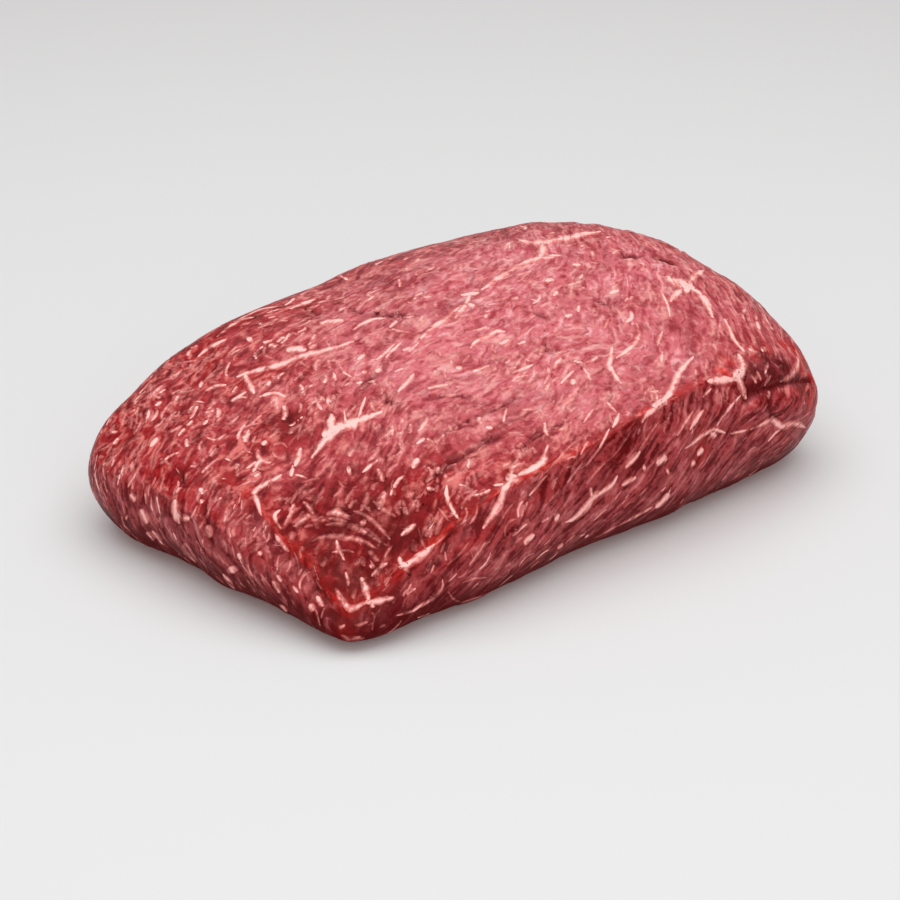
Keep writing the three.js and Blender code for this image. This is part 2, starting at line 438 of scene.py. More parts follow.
SEAMS = (
    # The long streak at the top left, with its branch and the arc under it.
    Seam(((235, 378), (247, 373), (277, 366), (300, 357), (315, 353), (338, 347), (356, 341)), 2.3),
    Seam(((285, 351), (294, 349), (308, 350)), 3.2),
    Seam(((308, 350), (318, 343)), 2.2),
    Seam(((244, 372), (248, 382), (255, 395)), 2.5),
    Seam(((258, 398), (267, 394), (277, 393), (287, 398)), 1.5),
    Seam(((230, 403), (238, 397), (248, 391)), 1.5),
    # The big star in the left half of the top.
    Seam(((311, 460), (317, 450), (330, 436), (343, 427), (360, 420), (384, 411)), 3.5, 1.15),
    Seam(((333, 434), (331, 424), (331, 413)), 3.4, 1.2),
    Seam(((358, 421), (362, 407), (366, 396)), 1.3),
    Seam(((322, 438), (334, 430), (346, 424)), 4.8, 1.3),
    Seam(((346, 424), (344, 410)), 1.0),
    Seam(((301, 447), (298, 458), (294, 468)), 2.4),
    Seam(((302, 475), (300, 478)), 5.0),
    Seam(((293, 464), (291, 478)), 1.6),
    Seam(((325, 402), (335, 401)), 4.6),
    Seam(((334, 394), (330, 405)), 2.2),
    # The seam in the back half of the top, with the web that joins it.
    Seam(((480, 291), (489, 285), (502, 276), (516, 267), (528, 261), (541, 258), (556, 258)), 2.9),
    Seam(((518, 240), (530, 243), (545, 243), (560, 239), (583, 234), (602, 231)), 3.4),
    Seam(((541, 258), (542, 250), (543, 243)), 3.6),
    Seam(((548, 256), (562, 256)), 1.4),
    Seam(((459, 296), (468, 294), (481, 293)), 1.7),
    Seam(((470, 295), (467, 303), (459, 313), (454, 320)), 2.5),
    Seam(((464, 302), (475, 307)), 2.6),
    Seam(((420, 340), (428, 331), (437, 325), (449, 317), (462, 305)), 2.8),
    Seam(((352, 331), (362, 324), (374, 319), (388, 318)), 1.6),
    Seam(((318, 323), (330, 322), (345, 320)), 3.0),
    Seam(((289, 310), (302, 304), (317, 299)), 1.8),
    Seam(((197, 358), (206, 350), (216, 344), (228, 339)), 1.8),
    Seam(((216, 338), (228, 328), (241, 320), (256, 317)), 1.6),
    Seam(((233, 323), (243, 313), (262, 309), (285, 306)), 1.3),
    Seam(((246, 341), (253, 338)), 3.2),
    Seam(((268, 345), (278, 347)), 2.6),
    Seam(((340, 276), (348, 281)), 1.6),
    Seam(((400, 288), (399, 279)), 1.5),
    # Short bright streaks across the middle of the top.
    Seam(((375, 361), (385, 354), (395, 344)), 1.7),
    Seam(((385, 359), (402, 342)), 1.5),
    Seam(((402, 352), (412, 347)), 2.3),
    Seam(((408, 353), (420, 342)), 1.5),
    Seam(((357, 361), (365, 354)), 1.9),
    Seam(((376, 374), (381, 368)), 2.9),
    Seam(((361, 373), (368, 372)), 2.4),
    Seam(((397, 393), (407, 383), (415, 373)), 2.4),
    Seam(((333, 372), (336, 382)), 1.6),
    Seam(((342, 371), (352, 378)), 1.4),
    Seam(((470, 350), (474, 343), (486, 337), (497, 331), (507, 332)), 2.3),
    Seam(((455, 369), (463, 367)), 2.5),
    Seam(((511, 374), (523, 369), (535, 364)), 1.5),
    Seam(((553, 370), (557, 363), (562, 357)), 2.3),
    Seam(((516, 345), (527, 341)), 1.7),
    Seam(((565, 318), (573, 314)), 2.8),
    Seam(((578, 313), (579, 305)), 1.6),
    Seam(((544, 281), (556, 281)), 2.2),
    Seam(((553, 297), (558, 291)), 1.8),
    Seam(((510, 300), (520, 297)), 2.2),
    Seam(((571, 265), (582, 265)), 1.6),
    Seam(((608, 294), (620, 290)), 1.7),
    # The forked vein and its neighbours in the right half of the top.
    Seam(((612, 346), (611, 357), (609, 366), (615, 376), (622, 385)), 2.5),
    Seam(((615, 359), (624, 353), (634, 345), (640, 334), (636, 322)), 2.0),
    Seam(((619, 310), (632, 303), (640, 309)), 1.6, 0.7),
    Seam(((604, 330), (609, 318)), 1.6, 0.8),
    Seam(((560, 385), (566, 378), (575, 370)), 1.6),
    Seam(((572, 386), (574, 378)), 2.4),
    # The star at the top right.
    Seam(((664, 276), (674, 281), (686, 286), (696, 289)), 3.5, 1.2),
    Seam(((686, 286), (694, 277), (704, 270)), 2.8),
    Seam(((688, 287), (697, 291), (705, 300), (710, 310), (713, 319)), 2.9, 1.25),
    Seam(((686, 286), (677, 293), (670, 303)), 2.6),
    Seam(((679, 284), (693, 288)), 4.8, 1.6),
    Seam(((662, 293), (668, 306), (670, 318)), 1.3),
    Seam(((657, 347), (660, 338), (663, 330)), 1.6, 0.8),
    # From the right end of the top down to the two small muscles.
    Seam(((724, 318), (729, 328), (734, 340), (745, 353)), 2.0),
    Seam(((757, 321), (759, 330)), 2.2),
    Seam(((737, 353), (742, 361), (743, 368), (741, 375), (735, 379), (727, 381)), 3.0, 1.25),
    Seam(((733, 380), (738, 377), (742, 370)), 4.6, 1.5),
    Seam(((706, 382), (718, 380), (733, 379)), 3.0, 1.25),
    Seam(((739, 372), (739, 379), (742, 388), (747, 400)), 2.6, 1.3),
    Seam(((761, 352), (766, 347)), 2.4),
    # The two small muscles: the rim and pale streaks of the upper one, and the seams round the lower one.
    Seam(((795, 350), (798, 357), (798, 364), (794, 372), (787, 379), (779, 382)), 2.6, 0.85),
    Seam(((750, 374), (757, 385)), 1.3, 0.75),
    Seam(((756, 370), (761, 382)), 1.1, 0.65),
    Seam(((768, 362), (764, 375)), 1.4, 0.75),
    Seam(((771, 375), (763, 387)), 1.2, 0.7),
    Seam(((777, 390), (780, 391)), 2.2, 0.5),
    Seam(((804, 371), (806, 378)), 2.0, 0.55),
    Seam(((808, 383), (806, 389), (802, 396)), 1.5, 0.5),
    Seam(((803, 402), (805, 404)), 1.8, 0.6),
    Seam(((749, 430), (756, 427), (764, 423), (771, 418), (776, 422), (781, 427), (788, 425), (794, 423),
          (800, 425), (806, 428)), 2.8, 1.0),
    Seam(((795, 422), (804, 416), (812, 410)), 1.4, 0.5),
    Seam(((684, 449), (694, 442), (704, 434), (714, 429), (726, 433)), 1.8),
    Seam(((709, 432), (717, 436)), 2.8),
    Seam(((729, 434), (738, 432), (747, 430)), 1.2),
    Seam(((716, 428), (720, 419), (730, 407), (741, 395)), 1.3),
    Seam(((689, 431), (696, 420), (704, 409)), 1.5),
    # Veins that run from the top over the ridge.
    Seam(((694, 356), (686, 365), (678, 374), (674, 385), (668, 396), (660, 405), (651, 407)), 2.8, 1.15),
    Seam(((664, 400), (655, 408), (646, 415), (641, 424)), 2.1),
    Seam(((652, 408), (659, 405), (666, 399)), 4.0, 1.2),
    Seam(((606, 401), (612, 408), (618, 414)), 1.4),
    Seam(((619, 412), (617, 420), (612, 429)), 1.7),
    Seam(((610, 428), (605, 438), (598, 450)), 1.2),
    Seam(((548, 444), (546, 453), (543, 462), (534, 468), (522, 474), (511, 479)), 2.5, 1.2),
    Seam(((515, 477), (506, 486), (503, 494), (500, 504), (492, 516), (482, 530)), 2.4, 1.15),
    Seam(((504, 480), (512, 479), (518, 475)), 3.8, 1.2),
    Seam(((505, 484), (492, 486)), 1.2),
    Seam(((583, 424), (588, 416), (594, 408)), 1.2, 0.8),
    # The front side: the forked vein in its middle, and the streaks that lean with its fibres.
    Seam(((564, 523), (576, 518), (586, 508), (593, 497), (604, 491), (613, 484), (618, 474)), 2.2),
    Seam(((592, 498), (590, 486)), 1.5),
    Seam(((620, 486), (630, 481), (637, 476)), 2.0),
    Seam(((624, 469), (633, 459), (641, 450)), 2.0),
    Seam(((655, 463), (662, 460), (668, 458)), 3.8, 1.4),
    Seam(((642, 469), (646, 467)), 2.6),
    Seam(((666, 473), (669, 470)), 2.4),
    Seam(((696, 455), (704, 449)), 2.7, 1.3),
    Seam(((690, 464), (696, 463)), 2.7, 1.3),
    Seam(((654, 508), (664, 500), (670, 492)), 2.3, 1.2),
    Seam(((617, 526), (630, 519), (644, 512), (654, 506)), 1.4),
    Seam(((594, 538), (606, 532), (620, 524)), 1.1, 0.7),
    Seam(((523, 545), (529, 539), (535, 534)), 2.7, 1.3),
    Seam(((511, 537), (520, 529), (528, 523)), 1.3),
    Seam(((553, 520), (560, 514)), 2.7, 1.25),
    Seam(((540, 523), (550, 517)), 1.3, 0.8),
    Seam(((556, 549), (564, 544)), 1.7),
    Seam(((584, 537), (589, 535)), 1.7),
    Seam(((486, 541), (476, 556), (468, 566)), 1.2, 0.8),
    Seam(((528, 497), (538, 486), (548, 474)), 1.1, 0.75),
    Seam(((566, 484), (574, 474), (583, 462)), 1.1, 0.75),
    Seam(((676, 437), (684, 424), (694, 410)), 1.2, 0.7),
    Seam(((702, 398), (712, 388)), 1.1, 0.8),
    # The ridge near the front corner, and the V at the corner itself.
    Seam(((397, 568), (407, 565), (419, 556), (430, 549), (436, 543)), 3.0, 1.15),
    Seam(((400, 568), (408, 563)), 4.0),
    Seam(((431, 549), (440, 540), (452, 531), (468, 519)), 1.3, 0.7),
    Seam(((399, 556), (402, 566)), 1.8),
    Seam(((400, 537), (408, 530), (417, 523)), 2.1),
    Seam(((447, 484), (446, 494), (450, 506), (459, 520)), 1.7),
    Seam(((335, 587), (342, 601), (350, 610), (359, 606), (368, 601)), 2.6, 1.25),
    Seam(((369, 602), (366, 592), (365, 585), (360, 576)), 2.5, 1.5),
    Seam(((364, 602), (373, 602), (382, 601), (389, 599), (396, 597)), 2.6, 1.4),
    Seam(((371, 602), (374, 609)), 1.8, 1.3),
    Seam(((396, 597), (396, 603), (390, 604)), 1.4, 0.6),
    Seam(((353, 626), (361, 625), (369, 621)), 1.5, 0.5),
    Seam(((338, 625), (343, 630)), 1.5, 0.5),
    Seam(((378, 628), (387, 624)), 1.7, 0.6),
    Seam(((340, 639), (353, 640), (366, 637)), 2.0, 0.5),
    Seam(((374, 564), (370, 569)), 2.2),
    Seam(((384, 562), (378, 570), (378, 577)), 1.6, 0.6),
    Seam(((370, 578), (378, 569), (389, 562)), 1.8, 0.8),
    Seam(((395, 616), (412, 611), (433, 599), (443, 588), (442, 578)), 1.5),
    Seam(((416, 618), (430, 613)), 1.2),
    Seam(((336, 539), (339, 550), (345, 562)), 1.6),
    Seam(((345, 571), (348, 580), (349, 588)), 1.3),
    Seam(((379, 511), (381, 500), (385, 490)), 2.8),
    Seam(((359, 522), (367, 524)), 3.0),
    Seam(((361, 474), (369, 467), (379, 459)), 1.5),
    Seam(((412, 470), (419, 457)), 2.4),
    Seam(((346, 471), (352, 470)), 3.4),
    Seam(((302, 501), (308, 506), (314, 515)), 1.8),
    Seam(((283, 474), (272, 481), (260, 487), (254, 492), (258, 505), (262, 517)), 2.3),
    Seam(((282, 531), (276, 522), (274, 514), (282, 509)), 1.5),
    Seam(((274, 533), (281, 543), (290, 553)), 1.7),
    Seam(((330, 553), (345, 550), (356, 553)), 1.2, 0.7),
    # Arcs of fibres above the front corner.
    Seam(((325, 516), (333, 512), (344, 514), (351, 521)), 2.8, 0.75),
    Seam(((327, 519), (338, 519), (349, 523)), 2.2, 0.6),
    Seam(((324, 526), (335, 523), (349, 525), (361, 530), (374, 538), (388, 547)), 2.2, 0.65),
    Seam(((310, 543), (321, 537), (335, 536), (351, 538), (365, 542), (379, 550)), 2.2, 0.65),
    Seam(((351, 511), (365, 515), (379, 527), (391, 541)), 2.2, 0.6),
    Seam(((372, 500), (380, 507), (388, 513), (397, 518)), 2.2, 0.65),
    Seam(((364, 527), (372, 534), (382, 541)), 2.0, 0.45),
    Seam(((465, 506), (468, 515), (462, 524)), 1.3, 0.6),
    Seam(((418, 527), (423, 545), (427, 552)), 1.2, 0.55),
    Seam(((437, 507), (443, 513), (449, 522)), 1.2, 0.5),
    Seam(((395, 543), (388, 551), (384, 559)), 1.2, 0.5),
    Seam(((272, 447), (276, 443), (283, 443), (288, 449)), 1.3, 0.5),
    Seam(((272, 451), (275, 457), (282, 459), (288, 455)), 1.3, 0.5),
    Seam(((338, 479), (341, 486), (350, 489), (359, 486)), 1.2, 0.5),
    Seam(((300, 484), (310, 480), (322, 478)), 1.2, 0.5),
    # Strands that lean on the front side.
    Seam(((584, 436), (570, 446), (555, 463), (543, 475), (534, 484)), 1.0, 0.5),
    Seam(((608, 436), (596, 453), (587, 465), (575, 472)), 1.0, 0.5),
    Seam(((560, 489), (549, 502), (538, 512)), 0.9, 0.45),
    Seam(((606, 462), (594, 474), (585, 485)), 0.9, 0.45),
    Seam(((632, 430), (621, 447), (611, 459)), 0.9, 0.45),
    Seam(((660, 420), (648, 437), (637, 452)), 0.9, 0.45),
    Seam(((516, 500), (505, 514), (497, 527)), 0.9, 0.45),
    Seam(((470, 541), (458, 556), (446, 566)), 1.0, 0.5),
    Seam(((460, 583), (474, 578), (488, 577)), 0.9, 0.5),
    Seam(((447, 590), (452, 598), (462, 602), (478, 597), (492, 590)), 1.1, 0.6),
    # Round flecks in the left half of the top.
    Seam(((199, 403), (201, 401)), 3.4),
    Seam(((227, 461), (229, 459)), 3.6),
    Seam(((249, 453), (250, 452)), 2.4),
    Seam(((283, 405), (286, 412), (283, 421)), 2.4),
    Seam(((263, 447), (266, 440)), 2.4),
    Seam(((177, 472), (179, 471)), 2.4),
    Seam(((223, 480), (224, 478)), 2.2),
    Seam(((200, 389), (202, 380)), 1.6),
    Seam(((154, 407), (163, 401)), 1.4),
    Seam(((113, 446), (119, 437)), 1.6),
    Seam(((150, 448), (158, 437)), 2.2),
    Seam(((178, 437), (185, 428)), 1.8),
    Seam(((186, 427), (193, 420)), 1.6),
    Seam(((204, 392), (216, 386), (228, 385)), 1.5),
    Seam(((229, 402), (238, 397), (248, 398)), 1.3),
    Seam(((205, 437), (216, 441), (228, 433)), 1.3, 0.8),
    # The left end.
    Seam(((147, 530), (150, 535), (156, 541)), 2.6),
    Seam(((151, 530), (158, 536), (163, 545)), 1.8),
    Seam(((175, 498), (175, 510), (181, 525)), 3.2),
    Seam(((176, 513), (183, 518), (191, 519)), 2.8),
    Seam(((182, 543), (189, 552), (196, 563)), 4.4, 0.9),
    Seam(((140, 508), (144, 516), (149, 524)), 2.6),
    Seam(((129, 494), (137, 501)), 2.4),
    Seam(((126, 516), (128, 519)), 1.8),
    Seam(((207, 524), (211, 539)), 3.0),
    Seam(((230, 565), (235, 574)), 3.8),
    Seam(((222, 572), (228, 580), (235, 589)), 2.2),
    Seam(((200, 499), (203, 504)), 1.8),
    Seam(((237, 553), (242, 560)), 1.8),
    Seam(((258, 551), (262, 556)), 1.6),
    Seam(((272, 580), (281, 594)), 2.3),
    Seam(((281, 603), (287, 612)), 2.4),
    Seam(((309, 603), (315, 612)), 2.2),
    Seam(((316, 595), (324, 608)), 1.8),
    Seam(((276, 574), (283, 583)), 1.4),
    Seam(((292, 585), (299, 594)), 1.3),
    Seam(((340, 634), (350, 640), (362, 636)), 1.6, 0.7),
    Seam(((338, 629), (346, 624)), 1.4, 0.8),
)


@dataclass(frozen=True)
class FarSeam:
    """A seam of fat in a side that faces away, in one of the model's dips."""

    places: tuple[Triple, ...]
    width: float
    richness: float = 1.0


FAR_SEAMS = (
    FarSeam(((-72.0, 76.0, 10.0), (-40.0, 80.0, 18.0), (0.0, 84.0, 27.0), (32.0, 87.0, 25.0),
             (64.0, 88.0, 19.0)), 1.9),
    FarSeam(((-6.0, 83.0, 26.0), (-16.0, 82.0, 36.0), (-22.0, 79.0, 46.0)), 1.6),
    FarSeam(((32.0, 87.0, 25.0), (42.0, 88.0, 34.0), (58.0, 86.0, 42.0)), 1.5),
    FarSeam(((64.0, 88.0, 19.0), (76.0, 88.0, 12.0)), 1.3),
    FarSeam(((106.0, -26.0, 12.0), (112.0, 8.0, 32.0), (108.0, 30.0, 28.0), (104.0, 48.0, 20.0)), 1.9),
    FarSeam(((112.0, 8.0, 32.0), (111.0, 14.0, 42.0), (108.0, 26.0, 50.0)), 1.5),
    FarSeam(((-40.0, 80.0, 18.0), (-48.0, 79.0, 27.0)), 1.7),
)


@dataclass(frozen=True)
class Patch:
    """A round place made redder or darker: its middle in the photograph, its reach, redness and darkness.
    """

    pixel: Pixel
    reach: float
    red: float
    dark: float


PATCHES = (
    Patch((783, 366), 5.5, 0.0, 1.0),
    Patch((771, 372), 5.5, 0.0, 1.0),
    Patch((758, 372), 5.0, 0.0, 0.95),
    Patch((756, 385), 4.5, 0.0, 0.9),
    Patch((768, 362), 4.0, 0.0, 0.8),
    Patch((800, 385), 3.5, 0.2, 0.5),
    Patch((791, 404), 6.0, 0.1, 0.15),
    Patch((797, 352), 6.0, 0.75, 0.0),
    Patch((785, 345), 4.0, 0.8, 0.0),
    Patch((768, 349), 4.0, 0.6, 0.0),
    Patch((754, 355), 3.5, 0.5, 0.0),
    Patch((807, 374), 6.5, 0.75, 0.0),
    Patch((811, 398), 7.0, 0.75, 0.0),
    Patch((807, 418), 6.0, 0.7, 0.0),
    Patch((724, 372), 4.5, 0.9, 0.0),
    Patch((728, 362), 4.0, 0.8, 0.0),
    Patch((704, 432), 4.5, 0.6, 0.0),
    Patch((700, 452), 5.0, 0.5, 0.0),
    Patch((350, 596), 7.0, 0.8, 0.1),
    Patch((330, 577), 6.0, 0.9, 0.0),
    Patch((366, 583), 5.0, 0.5, 0.0),
    Patch((425, 540), 5.0, 0.5, 0.0),
    Patch((240, 495), 7.0, 0.7, 0.1),
    Patch((225, 480), 6.0, 0.5, 0.1),
    Patch((265, 375), 6.0, 0.7, 0.0),
    Patch((236, 385), 6.0, 0.6, 0.0),
    Patch((345, 635), 5.0, 0.8, 0.0),
    Patch((300, 370), 9.0, 0.3, 0.0),
    Patch((290, 425), 7.0, 0.2, 0.45),
    Patch((420, 505), 8.0, 0.2, 0.5),
    Patch((365, 540), 7.0, 0.3, 0.45),
    Patch((345, 565), 8.0, 0.2, 0.5),
    Patch((395, 300), 7.0, 0.3, 0.25),
    Patch((125, 440), 10.0, 0.2, 0.2),
)


@dataclass(frozen=True)
class Sides:
    """Which side of the roast a place is on, with the sharp ridge where the photograph shows it."""

    view: PhotoView
    ridge: tuple[Pixel, ...] = RIDGE
    reach: float = 12.0  # how far from the ridge its line in the photograph decides
    px_to_mm: float = 0.27  # across the ridge, at the roast's distance
    blur: float = 0.7
    left_fade: Fade = (190.0, 270.0)  # pixels across between which the ridge grows crisp
    right_fade: Fade = (750.0, 720.0)
    facing_fade: Fade = (-0.1, 0.1)  # how far a place must face the camera for the line to count
    slope_fade: Fade = (0.42, 0.74)  # from a side to the top, by how far the surface faces up

    def above_ridge(self, places: np.ndarray, normals: np.ndarray) -> tuple[np.ndarray, np.ndarray]:
        """How far places lie above the ridge, in millimetres, and how much the ridge counts there.

        Args:
            places: Millimetres, one place a row.
            normals: The surface's unit normals at the places.

        Returns:
            The height above the ridge, negative below it, and a weight from 0 to 1.
        """
        spots = self.view.pixels(places)
        xs, ys = np.array(self.ridge, dtype=float).T
        above = (np.interp(spots[:, 0], xs, ys) - spots[:, 1]) * self.px_to_mm
        ends = smooth_step(spots[:, 0], *self.left_fade) * smooth_step(spots[:, 0], *self.right_fade)
        facing = smooth_step(normals @ np.array(self.view.away()), *self.facing_fade)
        return above, bell(above, 0.0, self.reach) * ends * facing

    def top_share(self, places: np.ndarray, normals: np.ndarray) -> np.ndarray:
        """1 on the top, 0 on the sides, and a quick change between them at the ridge."""
        above, weight = self.above_ridge(places, normals)
        by_line = smooth_step(above, -self.blur, self.blur)
        by_slope = smooth_step(normals[:, 2], *self.slope_fade)
        return weight * by_line + (1.0 - weight) * by_slope

    def zones(self, places: np.ndarray, normals: np.ndarray) -> np.ndarray:
        """The number of the zone for each place."""
        ends = np.abs(normals[:, 0]) > np.abs(normals[:, 1])
        side = np.where(ends, Zone.END.value, Zone.LONG_SIDE.value)
        return np.where(self.top_share(places, normals) > 0.5, Zone.TOP.value, side)


class Surface:
    """The meat as it stands, for finding places on it and laying fat on it."""

    def __init__(self, piece: bpy.types.Object, zones: np.ndarray) -> None:
        """Reads the piece's mesh.

        Args:
            piece: The meat, with its place in its mesh.
            zones: The number of the zone of each of its vertices.
        """
        mesh = piece.data
        faces = [tuple(face.vertices) for face in mesh.polygons]
        self.zones = zones
        self.first_corner = np.array([face[0] for face in faces])
        self.tree = BVHTree.FromPolygons(read_all(mesh.vertices, "co", 3).tolist(), faces)
        self.areas = read_all(mesh.polygons, "area")
        self.centres = read_all(mesh.polygons, "center", 3)
        self.normals = read_all(mesh.polygons, "normal", 3)

    def under_pixel(self, view: PhotoView, pixel: Pixel) -> np.ndarray | None:
        """The place that a pixel of the photograph shows, in metres, or None beside the roast."""
        place, _, _, _ = self.tree.ray_cast(view.eye(), view.ray(pixel))
        return None if place is None else np.array(place)

    def line_under(self, view: PhotoView, path: tuple[Pixel, ...]) -> np.ndarray:
        """The places on the surface that a line of pixels shows, without those beside the roast."""
        found = [self.under_pixel(view, pixel) for pixel in path]
        return np.array([place for place in found if place is not None])

    def nearest(self, place: np.ndarray) -> tuple[np.ndarray, np.ndarray, int]:
        """The closest place on the surface, its normal and the number of a vertex beside it."""
        spot, normal, face, _ = self.tree.find_nearest(Vector(place))
        return np.array(spot), np.array(normal), int(self.first_corner[face])


def add_node(tree: bpy.types.NodeTree, kind: str, feeds: Sequence[Any] | dict[str, Any] = (),
             **settings: Any) -> bpy.types.Node:
    """Adds a shader node, sets it up and feeds its inputs.

    Args:
        tree: The material's node tree.
        kind: The node's Blender type, without the "ShaderNode" that it starts with.
        feeds: What the inputs in use take, in their order or by name: each a value, a hex colour, an
            output, or a node, whose first output in use is meant.
        settings: Attributes of the node, besides what is usual for its kind.

    Returns:
        The new node.
    """
    node = tree.nodes.new("ShaderNode" + kind)
    for name, value in {**USUAL.get(kind, {}), **settings}.items():
        setattr(node, name, value)
    if isinstance(feeds, dict):
        fed = [(node.inputs[name], value) for name, value in feeds.items()]
    else:
        fed = list(zip([socket for socket in node.inputs if socket.enabled], feeds))
    for socket, value in fed:
        if isinstance(value, bpy.types.Node):
            value = next(output for output in value.outputs if output.enabled)
        if isinstance(value, bpy.types.NodeSocket):
            tree.links.new(value, socket)
        else:
            socket.default_value = linear(value) if isinstance(value, str) else value
    return node


class Span(NamedTuple):
    """A smooth change: what goes in at its two ends, and what comes out there."""

    low: float
    high: float
    start: float = 0.0
    end: float = 1.0


class Strand(NamedTuple):
    """A layer of soft strands: how long, wide and ragged they are, and where its pattern starts."""

    length: float
    width: float
    detail: float
    start: float = 0.0


class Line(NamedTuple):
    """A line where a pattern has one level, and where it breaks off by another pattern."""

    level: float
    reach: float
    breaks: Span
    solid: float = 0.2  # the share of its reach within which it is whole


class Shades(NamedTuple):
    """Three colours of lean meat, from the gaps between its fibres to their crests."""

    dark: str
    mid: str
    light: str


class Tone(NamedTuple):
    """What each place of the meat stores: how red it is, partly a painted glow; how dark, partly painted
    shade; its share of top; and its bloom, partly a painted sheen.
    """

    red: bpy.types.NodeSocket
    dark: bpy.types.NodeSocket
    top: bpy.types.NodeSocket
    bloom_and_sheen: bpy.types.NodeSocket


@dataclass(frozen=True)
class RawBeef:
    """Raw lean beef with its fat: moist muscle fibres, cut across and trimmed with a knife.

    The eye sees short bundles of fibres with dark gaps on the top, long leaning fibres on the sides, a
    wet gloss over both, and cream-pink fat that the fibres run into without a hard edge.
    """

    # Lean meat on the top, without bloom and with it, and on the sides, high and low; the bloom and the
    # paler low shades of the sides are partly a painted sheen.
    deep: Shades = Shades("#780e12", "#a32226", "#de6a64")
    bloomed_with_sheen: Shades = Shades("#b2474f", "#d67279", "#f0abae")
    side: Shades = Shades("#620e10", "#a33d40", "#cf7372")
    low_side_with_sheen: Shades = Shades("#6c171b", "#9c4244", "#c67f7e")
    low_shade: Span = Span(0.14, 0.5)
    high_shade: Span = Span(0.5, 0.98)

    # The red band on the ridge, partly a painted glow of light through the thin edge; the red pools; and
    # the dark red of painted shade in the gaps between fibres, in the creases, under the ridge and at the
    # foot, and of the other dark places.
    ridge_red: str = "#ab231e"
    bright_red: str = "#dc2a1f"
    pale_red: str = "#e8665a"
    bright_rim: Span = Span(0.5, 0.95)
    pale_rim: Span = Span(0.55, 1.0, 0.0, 0.7)
    dark_rim: Span = Span(0.36, 0.05, 0.0, 0.45)
    rim_share: float = 0.88
    deep_red: str = "#a01a1d"
    pool_edge: Span = Span(0.5, 0.62, 0.0, 0.4)
    gap: str = "#4d0608"
    bloomed_gap: str = "#9a2d34"
    gap_share: float = 0.55
    dark_share: float = 0.94

    # Films of pale tissue, and the fat.
    film: str = "#f0aaa5"
    deep_film: str = "#dd7770"
    film_on_sides: str = "#c06668"
    film_by_weave: Span = Span(0.25, 0.75, 0.1, 0.65)
    film_by_dark: Span = Span(0.3, 1.0, 1.0, 0.25)
    fat_low: str = "#e88a84"
    fat_high: str = "#fdc9c2"
    fat_on_sides: str = "#fcbab4"
    fat_edge: Span = Span(0.03, 0.9)
    fat_crest: Span = Span(0.48, 1.08)
    fat_by_weave: float = 1.3
    fat_least: float = 0.35

    # The patterns, in millimetres.
    bundle_length: float = 6.0
    bundle_width: float = 3.2
    bundle_softness: float = 0.35
    fibres: Strand = Strand(7.0, 1.7, 1.0)
    streaks: Strand = Strand(13.0, 4.2, 1.5)
    slits: Strand = Strand(6.0, 2.1, 1.0, 31.0)
    curls: Strand = Strand(9.5, 5.5, 0.4, 67.0)
    swirl_size: float = 8.0
    swirl_by_top: Fade = (2.6, 6.0)
    blot_size: float = 7.0
    lump_size: float = 2.6
    grit_size: float = 1.0
    pool_size: float = 21.0
    break_size: float = 5.5
    pattern_roughness: float = 0.55  # of the speckles, as a share

    # Where the films and the clefts lie beside each curl, and where the slits do; the clefts and slits are
    # painted shade.
    film_line: Line = Line(0.5, 0.14, Span(0.42, 0.56))
    cleft_line: Line = Line(0.62, 0.11, Span(0.46, 0.62, 0.0, 0.7))
    slit_edge: Span = Span(0.42, 0.3)

    # What each pattern adds to the weave, on the sides and on the top.
    bundle_share: Fade = (0.12, 0.2)
    fibre_share: Fade = (0.72, 0.6)
    streak_share: Fade = (0.62, 0.65)
    blot_share: Fade = (0.28, 0.5)
    lump_share: Fade = (0.5, 0.8)
    grit_share: Fade = (0.35, 0.38)
    weave_drop: float = 0.1
    weave_contrast: Fade = (1.3, 1.08)  # without bloom and painted sheen, and with them
    weave_lift: Fade = (0.5, 0.25)  # in the light and in the dark

    # The relief, as shares of its height, and the gloss, which is lost in the gaps and at the foot.
    relief_height: float = 0.35
    relief_strength: float = 0.9
    relief_lost_in_fat: float = 0.6
    relief_of_gaps: float = -0.1
    relief_of_fibres: float = 0.2
    relief_of_streaks: float = 0.5
    relief_of_lumps: float = 0.7
    relief_of_films: float = 0.1
    relief_of_grit: float = 0.15
    wet: Span = Span(0.3, 0.7, 0.28, 0.42)
    dry: Span = Span(0.4, 0.95, 0.0, 0.85)
    refraction: float = 1.4
    shine: float = 0.06
    film_of_water: float = 0.03
    water_roughness: float = 0.12

    # How far light spreads inside the meat, red the furthest.
    soft_share: float = 0.1
    soft_colours: Triple = (1.0, 0.3, 0.2)
    soft_reach: float = 1.2

    def speckle(self, add: Adder, size: float, detail: float = 2.0) -> bpy.types.Node:
        """A pattern with no direction, of grains of the given size."""
        where = add("TexCoord").outputs["Object"]
        feeds = {"Vector": where, "Scale": 1.0 / (size * MM), "Detail": detail,
                 "Roughness": self.pattern_roughness}
        return add("TexNoise", feeds, noise_dimensions="3D")

    def curled_grain(self, add: Adder, top: bpy.types.NodeSocket) -> bpy.types.Node:
        """The map along and across the fibres, bent into small curls, which are strongest on the top."""
        curl = self.speckle(add, self.swirl_size, 1.0).outputs["Color"]
        centred = add("VectorMath", (curl, (NOISE_MIDDLE,) * 3), operation="SUBTRACT")
        reach = add("MapRange", (top, 0.0, 1.0, *self.swirl_by_top))
        shift = add("VectorMath", (centred, reach), operation="SCALE")
        return add("VectorMath", (add("UVMap", uv_map="grain"), shift), operation="ADD")

    def strands(self, add: Adder, grain: bpy.types.Node, layer: Strand) -> bpy.types.Node:
        """Soft strands that follow the grain."""
        place = (layer.start, layer.start, 0.0)
        size = (1.0 / layer.length, 1.0 / layer.width, 1.0)
        flow = add("Mapping", {"Vector": grain, "Location": place, "Scale": size})
        feeds = {"Vector": flow, "Scale": 1.0, "Detail": layer.detail}
        return add("TexNoise", feeds, noise_dimensions="2D")

